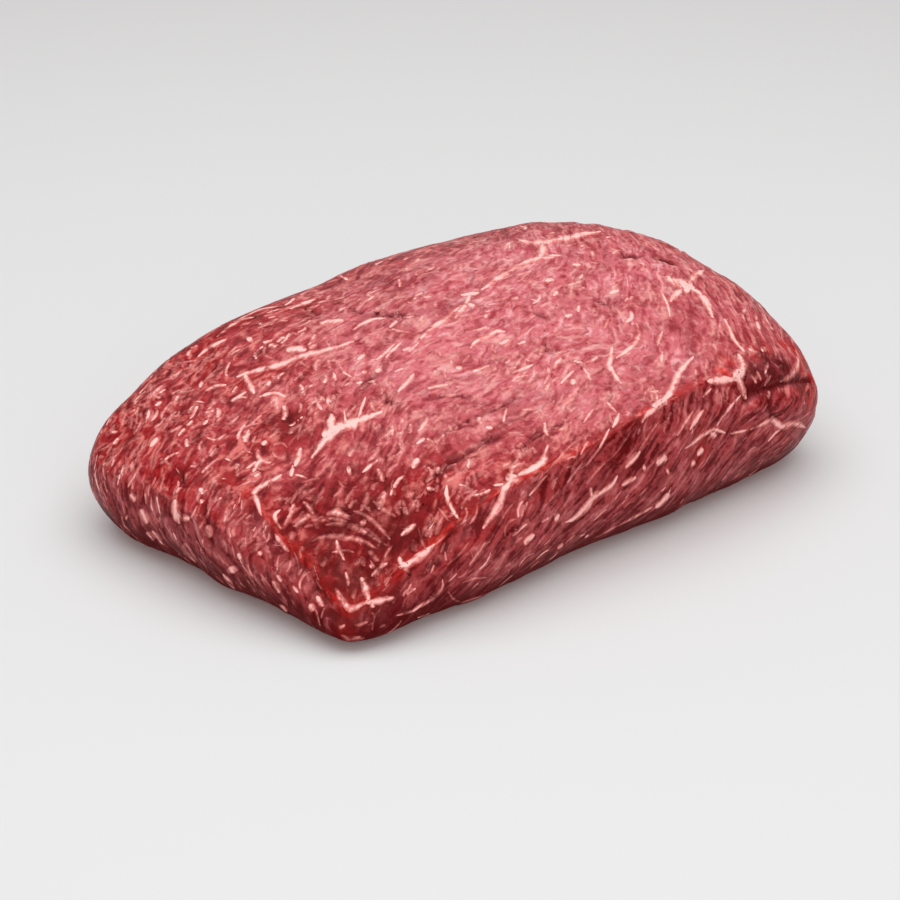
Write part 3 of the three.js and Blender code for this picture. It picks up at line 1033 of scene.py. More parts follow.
    def bundles(self, add: Adder, grain: bpy.types.Node) -> bpy.types.Node:
        """A shade for each bundle of fibres, which are cells drawn out along the grain."""
        size = (1.0 / self.bundle_length, 1.0 / self.bundle_width, 1.0)
        flow = add("Mapping", {"Vector": grain, "Scale": size})
        cells = add("TexVoronoi", {"Vector": flow, "Scale": 1.0, "Smoothness": self.bundle_softness},
                    voronoi_dimensions="2D", feature="SMOOTH_F1")
        return add("SeparateColor", (cells.outputs["Color"],))

    def ribbon(self, add: Adder, pattern: bpy.types.Node, broken: bpy.types.Node,
               line: Line) -> bpy.types.Node:
        """1 along a line in a pattern, fading to 0 within its reach, and 0 where it breaks off."""
        away = add("Math", (pattern, line.level), operation="SUBTRACT")
        away = add("Math", (away,), operation="ABSOLUTE")
        whole = add("MapRange", (away, line.reach, line.solid * line.reach))
        kept = add("MapRange", (broken, *line.breaks))
        return add("Math", (whole, kept), operation="MULTIPLY")

    def films_and_gaps(self, add: Adder, grain: bpy.types.Node) -> tuple[bpy.types.Node, bpy.types.Node]:
        """A pale film along each curl, with a gap of painted shade beside it, both broken off here and
        there, and slits of painted shade.
        """
        curls = self.strands(add, grain, self.curls)
        broken = self.speckle(add, self.break_size, 1.0)
        films = self.ribbon(add, curls, broken, self.film_line)
        clefts = self.ribbon(add, curls, broken, self.cleft_line)
        slits = add("MapRange", (self.strands(add, grain, self.slits), *self.slit_edge))
        return films, add("Math", (slits, clefts), operation="MAXIMUM")

    def weave(self, add: Adder, tone: Tone, bundles: bpy.types.Node,
              layers: tuple[tuple[bpy.types.Node, Fade], ...]) -> bpy.types.Node:
        """How light the fibres are at each place, from 0 to about 1.

        Args:
            add: Adds a node.
            tone: What each place stores.
            bundles: The shade of each bundle.
            layers: The other patterns, each with its share from the sides to the top.

        Returns:
            The last node, which stands out most where the meat has the least bloom and painted sheen.
        """
        share = add("MapRange", (tone.top, 0.0, 1.0, *self.bundle_share))
        weave = add("Math", (bundles, share), operation="MULTIPLY")
        for pattern, span in layers:
            share = add("MapRange", (tone.top, 0.0, 1.0, *span))
            centred = add("Math", (pattern, NOISE_MIDDLE), operation="SUBTRACT")
            part = add("Math", (centred, share), operation="MULTIPLY")
            weave = add("Math", (weave, part), operation="ADD")
        pale = add("Math", (tone.bloom_and_sheen, tone.top), operation="MULTIPLY")
        contrast = add("MapRange", (pale, 0.0, 1.0, *self.weave_contrast))
        weave = add("Math", (weave, self.weave_drop), operation="SUBTRACT")
        weave = add("Math", (weave, contrast), operation="MULTIPLY")
        lift = add("MapRange", (tone.dark, 0.0, 1.0, *self.weave_lift))
        return add("Math", (weave, lift), operation="ADD")

    def rim(self, add: Adder, tone: Tone, weave: bpy.types.Node) -> bpy.types.Node:
        """The bright red of the ridge, partly the meat's own red and partly a painted glow of light
        through the thin edge.
        """
        rim = self.ridge_red
        for signal, span, colour in (
            (tone.red, self.bright_rim, self.bright_red),
            (weave, self.pale_rim, self.pale_red),
            (weave, self.dark_rim, self.gap),
        ):
            share = add("MapRange", (signal, *span))
            rim = add("Mix", (share, rim, colour))
        return rim

    def meat(self, add: Adder, tone: Tone, weave: bpy.types.Node) -> bpy.types.Node:
        """The colour of the meat: lean, with red pools on the top, the band on the ridge with its painted
        glow, and the painted shade and other dark places that the tone stores.
        """
        low = add("MapRange", (weave, *self.low_shade))
        high = add("MapRange", (weave, *self.high_shade))
        zones = []
        for pair in ((self.side, self.low_side_with_sheen), (self.deep, self.bloomed_with_sheen)):
            leans = [
                add("Mix", (high, add("Mix", (low, shades.dark, shades.mid)), shades.light))
                for shades in pair
            ]
            zones.append(add("Mix", (tone.bloom_and_sheen, *leans)))
        meat = add("Mix", (tone.top, *zones))
        pools = add("MapRange", (self.speckle(add, self.pool_size), *self.pool_edge))
        for share in (add("Math", (1.0, tone.bloom_and_sheen), operation="SUBTRACT"), tone.top):
            pools = add("Math", (pools, share), operation="MULTIPLY")
        meat = add("Mix", (pools, meat, self.deep_red))
        for signal, most, colour in (
            (tone.red, self.rim_share, self.rim(add, tone, weave)),
            (tone.dark, self.dark_share, self.gap),
        ):
            share = add("Math", (signal, most), operation="MULTIPLY")
            meat = add("Mix", (share, meat, colour))
        return meat

    def build(self) -> bpy.types.Material:
        """Makes the material, which the meat and all its fat share.

        Returns:
            The finished material.
        """
        material = bpy.data.materials.new("raw_marbled_beef")
        material.use_nodes = True
        tree = material.node_tree
        tree.nodes.clear()
        add = partial(add_node, tree)
        stored = add("Attribute", attribute_name="tone")
        tone = Tone(*add("SeparateColor", (stored.outputs["Color"],)).outputs, stored.outputs["Alpha"])

        grain = self.curled_grain(add, tone.top)
        fibres = self.strands(add, grain, self.fibres)
        streaks = self.strands(add, grain, self.streaks)
        blots = self.speckle(add, self.blot_size)
        lumps = self.speckle(add, self.lump_size)
        grit = self.speckle(add, self.grit_size, 1.0)
        weave = self.weave(add, tone, self.bundles(add, grain), (
            (fibres, self.fibre_share),
            (streaks, self.streak_share),
            (blots, self.blot_share),
            (lumps, self.lump_share),
            (grit, self.grit_share),
        ))

        # The gaps, painted shade, are darkest and the films deepest in colour where the meat has no bloom
        # and painted sheen.
        films, gaps = self.films_and_gaps(add, grain)
        meat = self.meat(add, tone, weave)
        pale = add("Math", (tone.bloom_and_sheen, tone.top), operation="MULTIPLY")
        gap_colour = add("Mix", (pale, self.gap, self.bloomed_gap))
        gap_share = add("Math", (gaps, self.gap_share), operation="MULTIPLY")
        meat = add("Mix", (gap_share, meat, gap_colour))
        film_on_top = add("Mix", (pale, self.deep_film, self.film))
        film = add("Mix", (tone.top, self.film_on_sides, film_on_top))
        for signal, span in ((weave, self.film_by_weave), (tone.dark, self.film_by_dark)):
            share = add("MapRange", (signal, *span))
            films = add("Math", (films, share), operation="MULTIPLY")
        meat = add("Mix", (films, meat, film))

        # Fat thins out towards its rim, where the fibres show through it.
        fat = add("Attribute", attribute_name="fat").outputs["Fac"]
        uneven = add("Math", (weave, self.fat_by_weave), operation="MULTIPLY")
        uneven = add("Math", (uneven, self.fat_least), operation="ADD")
        thick = add("Math", (fat, uneven), operation="MULTIPLY")
        crest = add("Mix", (tone.top, self.fat_on_sides, self.fat_high))
        on_crest = add("MapRange", (thick, *self.fat_crest))
        fat_colour = add("Mix", (on_crest, self.fat_low, crest))
        fat_share = add("MapRange", (thick, *self.fat_edge))
        colour = add("Mix", (fat_share, meat, fat_colour))

        relief = add("Math", (gaps, self.relief_of_gaps), operation="MULTIPLY")
        for pattern, share in (
            (fibres, self.relief_of_fibres),
            (streaks, self.relief_of_streaks),
            (lumps, self.relief_of_lumps),
            (films, self.relief_of_films),
            (grit, self.relief_of_grit),
        ):
            part = add("Math", (pattern, share), operation="MULTIPLY")
            relief = add("Math", (relief, part), operation="ADD")
        lost = add("Math", (fat_share, self.relief_lost_in_fat), operation="MULTIPLY")
        calm = add("Math", (1.0, lost), operation="SUBTRACT")
        strength = add("Math", (calm, self.relief_strength), operation="MULTIPLY")
        bump = add("Bump", {"Strength": strength, "Distance": self.relief_height * MM, "Height": relief})
        wet = add("MapRange", (grit, *self.wet))
        dry = add("MapRange", (tone.dark, *self.dry))
        skin = add("BsdfPrincipled", {
            "Base Color": colour,
            "Roughness": add("Math", (wet, dry), operation="MAXIMUM"),
            "IOR": self.refraction,
            "Specular IOR Level": self.shine,
            "Subsurface Weight": self.soft_share,
            "Subsurface Radius": self.soft_colours,
            "Subsurface Scale": self.soft_reach * MM,
            "Coat Weight": self.film_of_water,
            "Coat Roughness": self.water_roughness,
            "Normal": bump,
        })
        add("OutputMaterial", {"Surface": skin})
        return material


@dataclass(frozen=True)
class Tones:
    """How red, dark and pale the meat is at each place, as its material reads it: partly its own colour,
    partly a painted glow on the ridge, painted shade and a painted sheen.
    """

    sides: Sides
    blotches: Cloud = Cloud(8.0, 21)
    blotch_fade: Fade = (-0.4, 0.4)
    patch_edge: int = 3  # the higher, the crisper the edge of a patch

    # The red band on the ridge, partly the meat's red and partly a painted glow of light through the thin
    # edge: wide at the front corner, thin along the front, broken towards the left.
    corner: Spot = (-100.0, -66.0)
    corner_fade: Fade = (52.0, 15.0)
    band_above: float = 0.7
    band_reach: float = 1.4
    band_reach_at_corner: float = 3.3  # more than elsewhere
    band_strength: float = 0.88
    band_strength_at_corner: float = 0.32
    band_unbroken: float = 0.7
    steep_slope: float = 0.6  # the edge of the top where there is no sharp ridge
    steep_reach: float = 0.2
    steep_red: float = 0.4

    # Where it is dark: painted shade in the groove under the ridge and at the foot, with a painted contact
    # shadow where the meat meets the floor; and darkening on and below the front corner.
    under_ridge: float = -4.6
    under_ridge_reach: float = 4.0
    under_ridge_shade: float = 0.32
    corner_top: Spot = (-88.0, -50.0)
    corner_top_fade: Fade = (42.0, 12.0)
    corner_top_dark: float = 0.7
    corner_top_even: float = 0.6
    corner_side_dark: float = 0.45
    foot_reach: float = 17.0
    left_foot_reach: float = 22.0
    left_foot_until: float = -70.0
    foot_fade: Fade = (1.0, 0.24)
    foot_shade: float = 0.85
    contact_shadow_fade: Fade = (6.0, 2.0)

    # The top is palest over its middle and right, out to the ridge there, and deepest at the front corner;
    # the paleness is partly its colour and partly a painted sheen.
    bloom_middle: Spot = (22.0, -8.0)
    bloom_run: float = 84.0
    bloom_rise_forward: float = 74.0
    bloom_rise_back: float = 62.0
    bloom_lean: float = 0.35  # how far to the right it leans in front, for each millimetre
    bloom_lean_from: float = -20.0
    bloom_clouds: Cloud = Cloud(16.0, 27)
    bloom_cloudiness: float = 0.25

    # The sides are paler low down and at the left end, partly in colour and partly by a painted sheen.
    low_side_fade: Fade = (26.0, 8.0)
    left_end_fade: Fade = (-85.0, -105.0)
    left_end_pale: float = 0.75
    side_clouds: Cloud = Cloud(13.0, 33)
    side_cloudiness: float = 0.4
    corner_side_deep: float = 0.7

    def bloom_and_sheen(self, places: np.ndarray, top: np.ndarray) -> np.ndarray:
        """How pale the meat is at each place, from 0 to 1, partly in colour and partly by a painted sheen.

        Args:
            places: Millimetres, one place a row.
            top: The share of top at each place.

        Returns:
            One value for each place.
        """
        x, y, z = places.T
        middle_x, middle_y = self.bloom_middle
        forward = np.minimum(y - self.bloom_lean_from, 0.0)
        run = (x - middle_x + self.bloom_lean * forward) / self.bloom_run
        rise = (y - middle_y) / np.where(y < middle_y, self.bloom_rise_forward, self.bloom_rise_back)
        on_top = np.exp(-((run**2 + rise**2) ** 2))
        on_top = np.clip(on_top + self.bloom_cloudiness * self.bloom_clouds.at(places), 0.0, 1.0)
        at_end = self.left_end_pale * smooth_step(x, *self.left_end_fade)
        on_sides = np.maximum(smooth_step(z, *self.low_side_fade), at_end)
        on_sides = np.clip(on_sides + self.side_cloudiness * self.side_clouds.at(places), 0.0, 1.0)
        on_sides *= 1.0 - self.corner_side_deep * near_spot(places, self.corner, self.corner_fade)
        return top * on_top + (1.0 - top) * on_sides

    def red_and_dark(self, places: np.ndarray, normals: np.ndarray, top: np.ndarray,
                     gaps: np.ndarray) -> tuple[np.ndarray, np.ndarray]:
        """How red and how dark the meat is at each place, before its patches and its foot: the red partly
        a painted glow along the ridge, the dark partly painted shade.

        Args:
            places: Millimetres, one place a row.
            normals: The surface's unit normals at the places.
            top: The share of top at each place.
            gaps: How deep in a gap each place is.

        Returns:
            The redness and the darkness, each one value for each place.
        """
        above, weight = self.sides.above_ridge(places, normals)
        blotches = smooth_step(self.blotches.at(places), *self.blotch_fade)
        to_corner = near_spot(places, self.corner, self.corner_fade)
        band = bell(above, self.band_above, self.band_reach + self.band_reach_at_corner * to_corner)
        band = band * weight * (self.band_strength + self.band_strength_at_corner * to_corner)
        steep = bell(normals[:, 2], self.steep_slope, self.steep_reach) * (1.0 - weight)
        band = np.minimum(band, 1.0) * at_least(self.band_unbroken, blotches)
        red = np.maximum(band, self.steep_red * steep * blotches)

        # Painted shade in the groove under the ridge.
        under_ridge = bell(above, self.under_ridge, self.under_ridge_reach) * weight
        corner_top = top * near_spot(places, self.corner_top, self.corner_top_fade)
        corner_top = self.corner_top_dark * corner_top * at_least(self.corner_top_even, blotches)
        dark = np.maximum(self.under_ridge_shade * under_ridge, corner_top)
        # Painted shade in the gaps and creases.
        dark = np.maximum(gaps, dark)
        return red, np.maximum(dark, self.corner_side_dark * to_corner * (1.0 - top))

    def measure(self, surface: Surface, places: np.ndarray, normals: np.ndarray,
                gaps: np.ndarray) -> np.ndarray:
        """The tone of each place.

        Args:
            surface: The meat in its final shape, on which the patches are found.
            places: Its vertices, in millimetres.
            normals: Their unit normals.
            gaps: How deep in a gap each vertex is.

        Returns:
            Redness, darkness, share of top and bloom with its painted sheen, one row for each vertex.
        """
        top = self.sides.top_share(places, normals)
        red, dark = self.red_and_dark(places, normals, top, gaps)
        for patch in PATCHES:
            middle = surface.under_pixel(self.sides.view, patch.pixel)
            if middle is None:
                continue
            away = np.linalg.norm(places - middle / MM, axis=1) / patch.reach
            near = np.exp(-(away**self.patch_edge))
            red = np.maximum(red * (1.0 - patch.dark * near), patch.red * near)
            dark = np.maximum(dark, patch.dark * near)
        # Painted shade at the foot, reaching higher at the left end, and a painted contact shadow where
        # the meat meets the floor.
        height = places[:, 2]
        foot = np.where(places[:, 0] < self.left_foot_until, self.left_foot_reach, self.foot_reach)
        dark = np.maximum(dark, self.foot_shade * smooth_step(height / foot, *self.foot_fade))
        dark = np.maximum(dark, smooth_step(height, *self.contact_shadow_fade))
        return np.stack([red, np.clip(dark, 0.0, 1.0), top, self.bloom_and_sheen(places, top)], 1)


class Fibres(NamedTuple):
    """Ridges along the grain: their length, width and height, how much painted shade their gaps get, and
    their seed.
    """

    length: float
    width: float
    height: float
    gap: float
    seed: int


@dataclass(frozen=True)
class Meat:
    """The whole muscle: the model's solid made fine, with its relief and its colours."""

    sides: Sides
    grain: Grain
    merge_under: float = 0.01
    quad_angle_deg: float = 60.0
    finer_levels: int = 2
    lumps: Cloud = Cloud(12.0, 3)
    lump_height: float = 0.35
    fibres: tuple[Fibres, ...] = (Fibres(24.0, 5.5, 0.55, 0.25, 5), Fibres(11.0, 3.0, 0.4, 0.12, 8))
    gap_fade: Fade = (0.1, 0.0)
    level: float = 0.3  # the value of the noise at which the surface stays where it is
    flat_below: float = 1.5
    calm_at_back: float = 0.65  # how much of the relief the smooth back edge goes without
    back_fade: Fade = (30.0, 62.0)
    lip_height: float = 0.9
    lip_reach: float = 1.9
    groove_below: float = -4.5  # the shallow groove under the lip
    groove_reach: float = 2.5
    groove_share: float = 0.5
    crease_cut: float = 0.7  # for each unit of a crease's depth
    # How much painted shade a crease gets for each unit of its depth, and the most that it gets.
    crease_dark: float = 0.75
    crease_darkest: float = 0.95

    def build(self, node: bpy.types.Object) -> bpy.types.Object:
        """Makes the smooth fine surface from a copy of the model's solid.

        Args:
            node: The solid.

        Returns:
            The new piece, not yet with relief.
        """
        piece = node.copy()
        piece.data = node.data.copy()
        piece.name = piece.data.name = "roast_meat"
        piece.parent = None
        for key in list(piece.keys()):
            del piece[key]
        # A gap between muscle bundles, cut in and darkened with painted shade: its line in the photograph,
        # half width and depth.
        bpy.context.scene.collection.objects.link(piece)
        piece.data.materials.clear()
        pick(piece)
        bpy.ops.object.mode_set(mode="EDIT")
        bpy.ops.mesh.select_all(action="SELECT")
        bpy.ops.mesh.remove_doubles(threshold=self.merge_under * MM)
        bpy.ops.mesh.customdata_custom_splitnormals_clear()
        angle = math.radians(self.quad_angle_deg)
        bpy.ops.mesh.tris_convert_to_quads(face_threshold=angle, shape_threshold=angle)
        bpy.ops.object.mode_set(mode="OBJECT")
        finer = piece.modifiers.new("finer", "SUBSURF")
        finer.levels = finer.render_levels = self.finer_levels
        bpy.ops.object.modifier_apply(modifier=finer.name)
        bpy.ops.object.shade_smooth()
        return piece

    def read(self, piece: bpy.types.Object) -> tuple[np.ndarray, np.ndarray]:
        """The places, in millimetres, and normals of the piece's vertices."""
        vertices = piece.data.vertices
        return read_all(vertices, "co", 3) / MM, read_all(vertices, "normal", 3)

    def folds(self, places: np.ndarray, zones: np.ndarray, fibres: Fibres) -> np.ndarray:
        """0 in the gaps between fibres and up to 1 on them, along the grain of each place's side."""
        made = np.zeros(len(places))
        for zone in Zone:
            here = zones == zone.value
            flow = self.grain.along_and_across(places[here], zone)
            level = np.full(len(flow), 0.5)
            spread = np.stack([flow[:, 0] / fibres.length, flow[:, 1] / fibres.width, level], 1)
            made[here] = np.abs(cloudy(spread, 1.0, fibres.seed))
        return made

    def raise_relief(self, piece: bpy.types.Object) -> np.ndarray:
        """Moves the surface out and in: lumps, fibre bundles, strands, creases and the ridge's lip.

        Args:
            piece: The meat.

        Returns:
            How deep in a gap each vertex is, from 0 to 1, which is painted as shade.
        """
        places, normals = self.read(piece)
        zones = self.sides.zones(places, normals)
        layers = [(fibres, self.folds(places, zones, fibres)) for fibres in self.fibres]
        lift = self.lump_height * self.lumps.at(places)
        lift += sum(fibres.height * (folds - self.level) for fibres, folds in layers)
        # Painted shade in the gaps between fibre bundles.
        gaps = sum(fibres.gap * smooth_step(folds, *self.gap_fade) for fibres, folds in layers)

        above, weight = self.sides.above_ridge(places, normals)
        lip = bell(above, 0.0, self.lip_reach)
        lip = lip - self.groove_share * bell(above, self.groove_below, self.groove_reach)
        lift += self.lip_height * lip * weight
        lift *= 1.0 - self.calm_at_back * smooth_step(places[:, 1], *self.back_fade)

        surface = Surface(piece, zones)
        for crease in CREASES:
            line = surface.line_under(self.sides.view, crease.path) / MM
            if len(line) < 2:
                continue
            cut = bell(distance_to_line(places, line), 0.0, crease.reach)
            lift -= self.crease_cut * crease.depth * cut
            # The crease is also darkened with painted shade.
            gaps = np.maximum(gaps, cut * min(self.crease_darkest, self.crease_dark * crease.depth))
        lift *= smooth_step(places[:, 2], 0.0, self.flat_below)
        places = places + normals * lift[:, None]
        places[:, 2] = np.maximum(places[:, 2], 0.0)
        piece.data.vertices.foreach_set("co", (places * MM).ravel())
        piece.data.update()
        return gaps

    def colour(self, piece: bpy.types.Object, gaps: np.ndarray) -> Surface:
        """Writes what the material reads: the grain's map, and the tone of each place.

        Args:
            piece: The meat, in its final shape.
            gaps: How deep in a gap each vertex is.

        Returns:
            The finished surface, for laying fat on.
        """
        places, normals = self.read(piece)
        zones = self.sides.zones(places, normals)
        surface = Surface(piece, zones)
        write_tone(piece.data, Tones(self.sides).measure(surface, places, normals, gaps))
        write_grain(piece.data, self.grain, places, zones)
        return surface


def write_tone(mesh: bpy.types.Mesh, tone: np.ndarray) -> None:
    """Stores redness, darkness, share of top and bloom at each vertex: a painted glow, painted shade and a
    painted sheen among them.
    """
    layer = mesh.attributes.new("tone", "FLOAT_COLOR", "POINT")
    layer.data.foreach_set("color", tone.astype(np.float32).ravel())


def write_grain(mesh: bpy.types.Mesh, grain: Grain, places: np.ndarray, zones: np.ndarray) -> None:
    """Stores the way along and across the fibres as a UV map, in millimetres.

    Args:
        mesh: The mesh to write to.
        grain: The way the fibres run.
        places: The vertices' places in millimetres.
        zones: The number of each vertex's zone; a face is in the zone of its first vertex.
    """
    corners = read_all(mesh.loops, "vertex_index", kind=np.int32)
    face_zones = [zones[face.vertices[0]] for face in mesh.polygons]
    corner_zones = np.repeat(face_zones, [len(face.vertices) for face in mesh.polygons])
    flow = np.zeros((len(corners), 2))
    for zone in Zone:
        here = corner_zones == zone.value
        flow[here] = grain.along_and_across(places[corners[here]], zone) * zone.stretch
    layer = mesh.uv_layers.new(name="grain")
    layer.data.foreach_set("uv", flow.astype(np.float32).ravel())


@dataclass(frozen=True)
class Flesh:
    """The finished meat that fat is laid on: its piece, surface, grain and material."""

    piece: bpy.types.Object
    surface: Surface
    grain: Grain
    beef: bpy.types.Material


@dataclass
class FatMaker:
    """Lays ribbons of fat on the meat and joins them into one piece."""

    name: str
    flesh: Flesh
    across: int  # how many points a ribbon has from rim to rim
    sink: float = 0.1  # how far a ribbon's rims lie under the meat
    keel: float = 0.5  # how far its closed underside does
    places: list[np.ndarray] = field(default_factory=list)
    richness: list[float] = field(default_factory=list)
    zones: list[int] = field(default_factory=list)
    meat_vertices: list[int] = field(default_factory=list)
    faces: list[tuple[int, ...]] = field(default_factory=list)

    def lay(self, middles: np.ndarray, half_widths: np.ndarray, height: float, richness: float) -> None:
        """Adds one closed ribbon: domed above the meat, with its keel sunk in it.

        Args:
            middles: The line that it follows, in metres.
            half_widths: Its half width at each point of the line, in metres.
            height: How far its crest stands over the meat, in metres.
            richness: 1 for thick white fat, less for a film.
        """
        surface = self.flesh.surface
        start = len(self.places)
        rows = len(middles)
        ring = self.across + 1
        zone = int(surface.zones[surface.nearest(middles[0])[2]])
        for middle, run, half in zip(middles, np.gradient(middles, axis=0), half_widths):
            spot, normal, vertex = surface.nearest(middle)
            side = unit(np.cross(normal, run))
            for column in np.linspace(-1.0, 1.0, self.across):
                foot, up, under = surface.nearest(spot + side * column * half)
                dome = 1.0 - column**2
                self.places.append(foot + up * (height * dome - self.sink * MM * (1.0 - dome)))
                self.richness.append(richness * (1.0 - abs(column)))
                self.meat_vertices.append(under)
            self.places.append(spot - normal * self.keel * MM)
            self.richness.append(0.0)
            self.meat_vertices.append(vertex)
        for end in (start, len(self.places) - ring):
            self.richness[end : end + ring] = [0.0] * ring
        self.zones += [zone] * (rows * ring)
        for row in range(rows - 1):
            for k in range(ring):
                a, b = start + row * ring + k, start + row * ring + (k + 1) % ring
                self.faces.append((a, b, b + ring, a + ring))
        self.faces.append(tuple(start + k for k in range(ring))[::-1])
        self.faces.append(tuple(start + (rows - 1) * ring + k for k in range(ring)))

    def build(self) -> bpy.types.Object:
        """Makes the piece from all ribbons laid so far.

        Returns:
            The piece, in the meat's own material.
        """
        mesh = bpy.data.meshes.new(self.name)
        places = np.array(self.places)
        mesh.from_pydata(places.tolist(), [], self.faces)
        piece = bpy.data.objects.new(self.name, mesh)
        bpy.context.scene.collection.objects.link(piece)
        pick(piece)
        bpy.ops.object.mode_set(mode="EDIT")
        bpy.ops.mesh.select_all(action="SELECT")
        bpy.ops.mesh.normals_make_consistent(inside=False)
        bpy.ops.object.mode_set(mode="OBJECT")
        bpy.ops.object.shade_smooth()
        tones = read_all(self.flesh.piece.data.attributes["tone"].data, "color", 4, np.float32)
        write_tone(mesh, tones[self.meat_vertices])
        layer = mesh.attributes.new("fat", "FLOAT", "POINT")
        layer.data.foreach_set("value", np.array(self.richness, dtype=np.float32))
        write_grain(mesh, self.flesh.grain, places / MM, np.array(self.zones))
        mesh.materials.append(self.flesh.beef)
        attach(piece, "root")
        return piece


@dataclass(frozen=True)
class FatSeams:
    """The fat between the muscles, where the photograph shows it, with short branches."""

    sides: Sides
    step: float = 0.8
    least_rows: int = 5
    across: int = 5
    smoothings: int = 2
    height: float = 0.2
    swell: float = 1.5  # widths grow by this, because the soft rims read as meat
    wobble: float = 0.14
    tip: float = 0.12  # the share of the width at both ends
    fullness: float = 0.75  # the lower, the blunter the ends
    thinnest: float = 0.12  # the least half width
    widest: float = 2.0  # the most that a seam seen aslant is widened by
    evened_over: int = 5  # points of its line
    branch_every: float = 16.0
    branch_under: float = 2.4  # seams at least this wide have none
    branch_length: Range = (1.5, 3.6)
    branch_width: float = 1.4
    branch_share: float = 0.6  # the most of the seam's width that it has
    branch_tip: float = 0.15
    branch_turn_deg: Range = (25.0, 70.0)
    branch_bend: float = 0.06
    branch_rows: int = 6
    branch_height: float = 0.7  # of the seam's, as its richness is
    branch_richness: float = 0.75
    seed: int = 31

    def along(self, line: np.ndarray) -> np.ndarray:
        """Spreads points evenly along a smooth curve through a line's points."""
        reach = np.concatenate([[0.0], np.cumsum(steps_of(line))])
        rows = max(self.least_rows, int(reach[-1] / (self.step * MM)) + 1)
        wanted = np.linspace(0.0, reach[-1], rows)
        curve = np.stack([np.interp(wanted, reach, line[:, k]) for k in range(3)], 1)
        for _ in range(self.smoothings):
            curve[1:-1] = (curve[:-2] + 2.0 * curve[1:-1] + curve[2:]) / 4.0
        return curve

    def half_widths(self, count: int, width: float, rng: np.random.Generator) -> np.ndarray:
        """Half widths along a seam, in metres: tapered at its ends and uneven between them."""
        share = np.linspace(-1.0, 1.0, count)
        profile = at_least(self.tip, (1.0 - share**2) ** self.fullness)
        uneven = 1.0 + self.wobble * np.convolve(rng.normal(0.0, 1.0, count), (0.25, 0.5, 0.25), "same")
        return np.maximum(width / 2 * profile * uneven, self.thinnest) * MM

    def as_seen(self, surface: Surface, middles: np.ndarray) -> np.ndarray:
        """How much wider than in the photograph the seam is along its line, evened out."""
        runs = np.gradient(middles, axis=0)
        normals = np.array([surface.nearest(middle)[1] for middle in middles])
        sides = np.array([unit(side) for side in np.cross(normals, runs)])
        shown = self.sides.view.foreshortening(middles / MM, sides)
        wider = 1.0 / np.clip(shown, 1.0 / self.widest, 1.0)
        share = np.full(self.evened_over, 1.0 / self.evened_over)
        return np.convolve(np.pad(wider, self.evened_over // 2, "edge"), share, "valid")

    def branches(self, maker: FatMaker, middles: np.ndarray, seam: Seam, rng: np.random.Generator) -> None:
        """Adds short side branches to one slim seam."""
        if seam.width >= self.branch_under:
            return
        length = steps_of(middles).sum() / MM
        for _ in range(rng.poisson(length / self.branch_every)):
            k = int(rng.integers(1, len(middles) - 1))
            spot, normal, _ = maker.flesh.surface.nearest(middles[k])
            run = middles[k + 1] - middles[k - 1]
            run = unit(run) * rng.choice((-1.0, 1.0))
            side = np.cross(normal, run) * rng.choice((-1.0, 1.0))
            turn = math.radians(rng.uniform(*self.branch_turn_deg))
            heading = math.cos(turn) * run + math.sin(turn) * side
            way = np.linspace(0.0, rng.uniform(*self.branch_length), self.branch_rows) * MM
            bend = rng.uniform(-self.branch_bend, self.branch_bend) / MM
            line = spot + way[:, None] * heading + (bend * way**2)[:, None] * side
            taper = np.linspace(1.0, self.branch_tip, self.branch_rows)
            half = min(self.branch_width, self.branch_share * seam.width) / 2 * taper * MM
            height = self.branch_height * self.height * MM
            maker.lay(line, half, height, self.branch_richness * seam.richness)

    def build(self, flesh: Flesh) -> bpy.types.Object:
        """Lays every seam.

        Args:
            flesh: The finished meat.

        Returns:
            The piece.
        """
        maker = FatMaker("fat_seams", flesh, self.across)
        rng = np.random.default_rng(self.seed)
        for seam in SEAMS:
            line = flesh.surface.line_under(self.sides.view, seam.path)
            if len(line) < 2:
                LOG.warning("a seam misses the roast: %s", seam.path)
                continue
            middles = self.along(line)
            half = self.half_widths(len(middles), seam.width * self.swell, rng)
            half = half * self.as_seen(flesh.surface, middles)
            maker.lay(middles, half, self.height * MM, seam.richness)
            self.branches(maker, middles, seam, rng)
        for seam in FAR_SEAMS:
            middles = self.along(np.array(seam.places) * MM)
            half = self.half_widths(len(middles), seam.width * self.swell, rng)
            maker.lay(middles, half, self.height * MM, seam.richness)
        return maker.build()


@dataclass(frozen=True)
class Kind:
    """A kind of scattered fleck.

    It says how many lie on each square metre, their length and width in millimetres, how much they bend
    and stray from the grain, how rich their fat is, and how many rows of points each has.
    """

    crowd: float
    length: Range
    width: Range
    bend: float
    stray_deg: float
    richness: Range
    rows: int


STREAKS = Kind(9000.0, (4.5, 10.0), (2.8, 4.6), 0.05, 24.0, (0.4, 1.0), 9)
DOTS = Kind(5500.0, (3.0, 4.8), (2.6, 4.0), 0.0, 60.0, (0.5, 1.05), 6)
HOOKS = Kind(8000.0, (5.0, 10.0), (2.9, 4.6), 0.12, 30.0, (0.35, 0.75), 10)
SPECKS = Kind(13000.0, (3.2, 6.4), (2.9, 4.6), 0.09, 30.0, (0.35, 0.7), 7)
THREADS = Kind(30000.0, (3.2, 7.4), (2.8, 4.6), 0.14, 28.0, (0.25, 0.55), 8)
HAIRS = Kind(2000.0, (9.0, 16.0), (1.8, 2.6), 0.03, 16.0, (0.25, 0.45), 10)


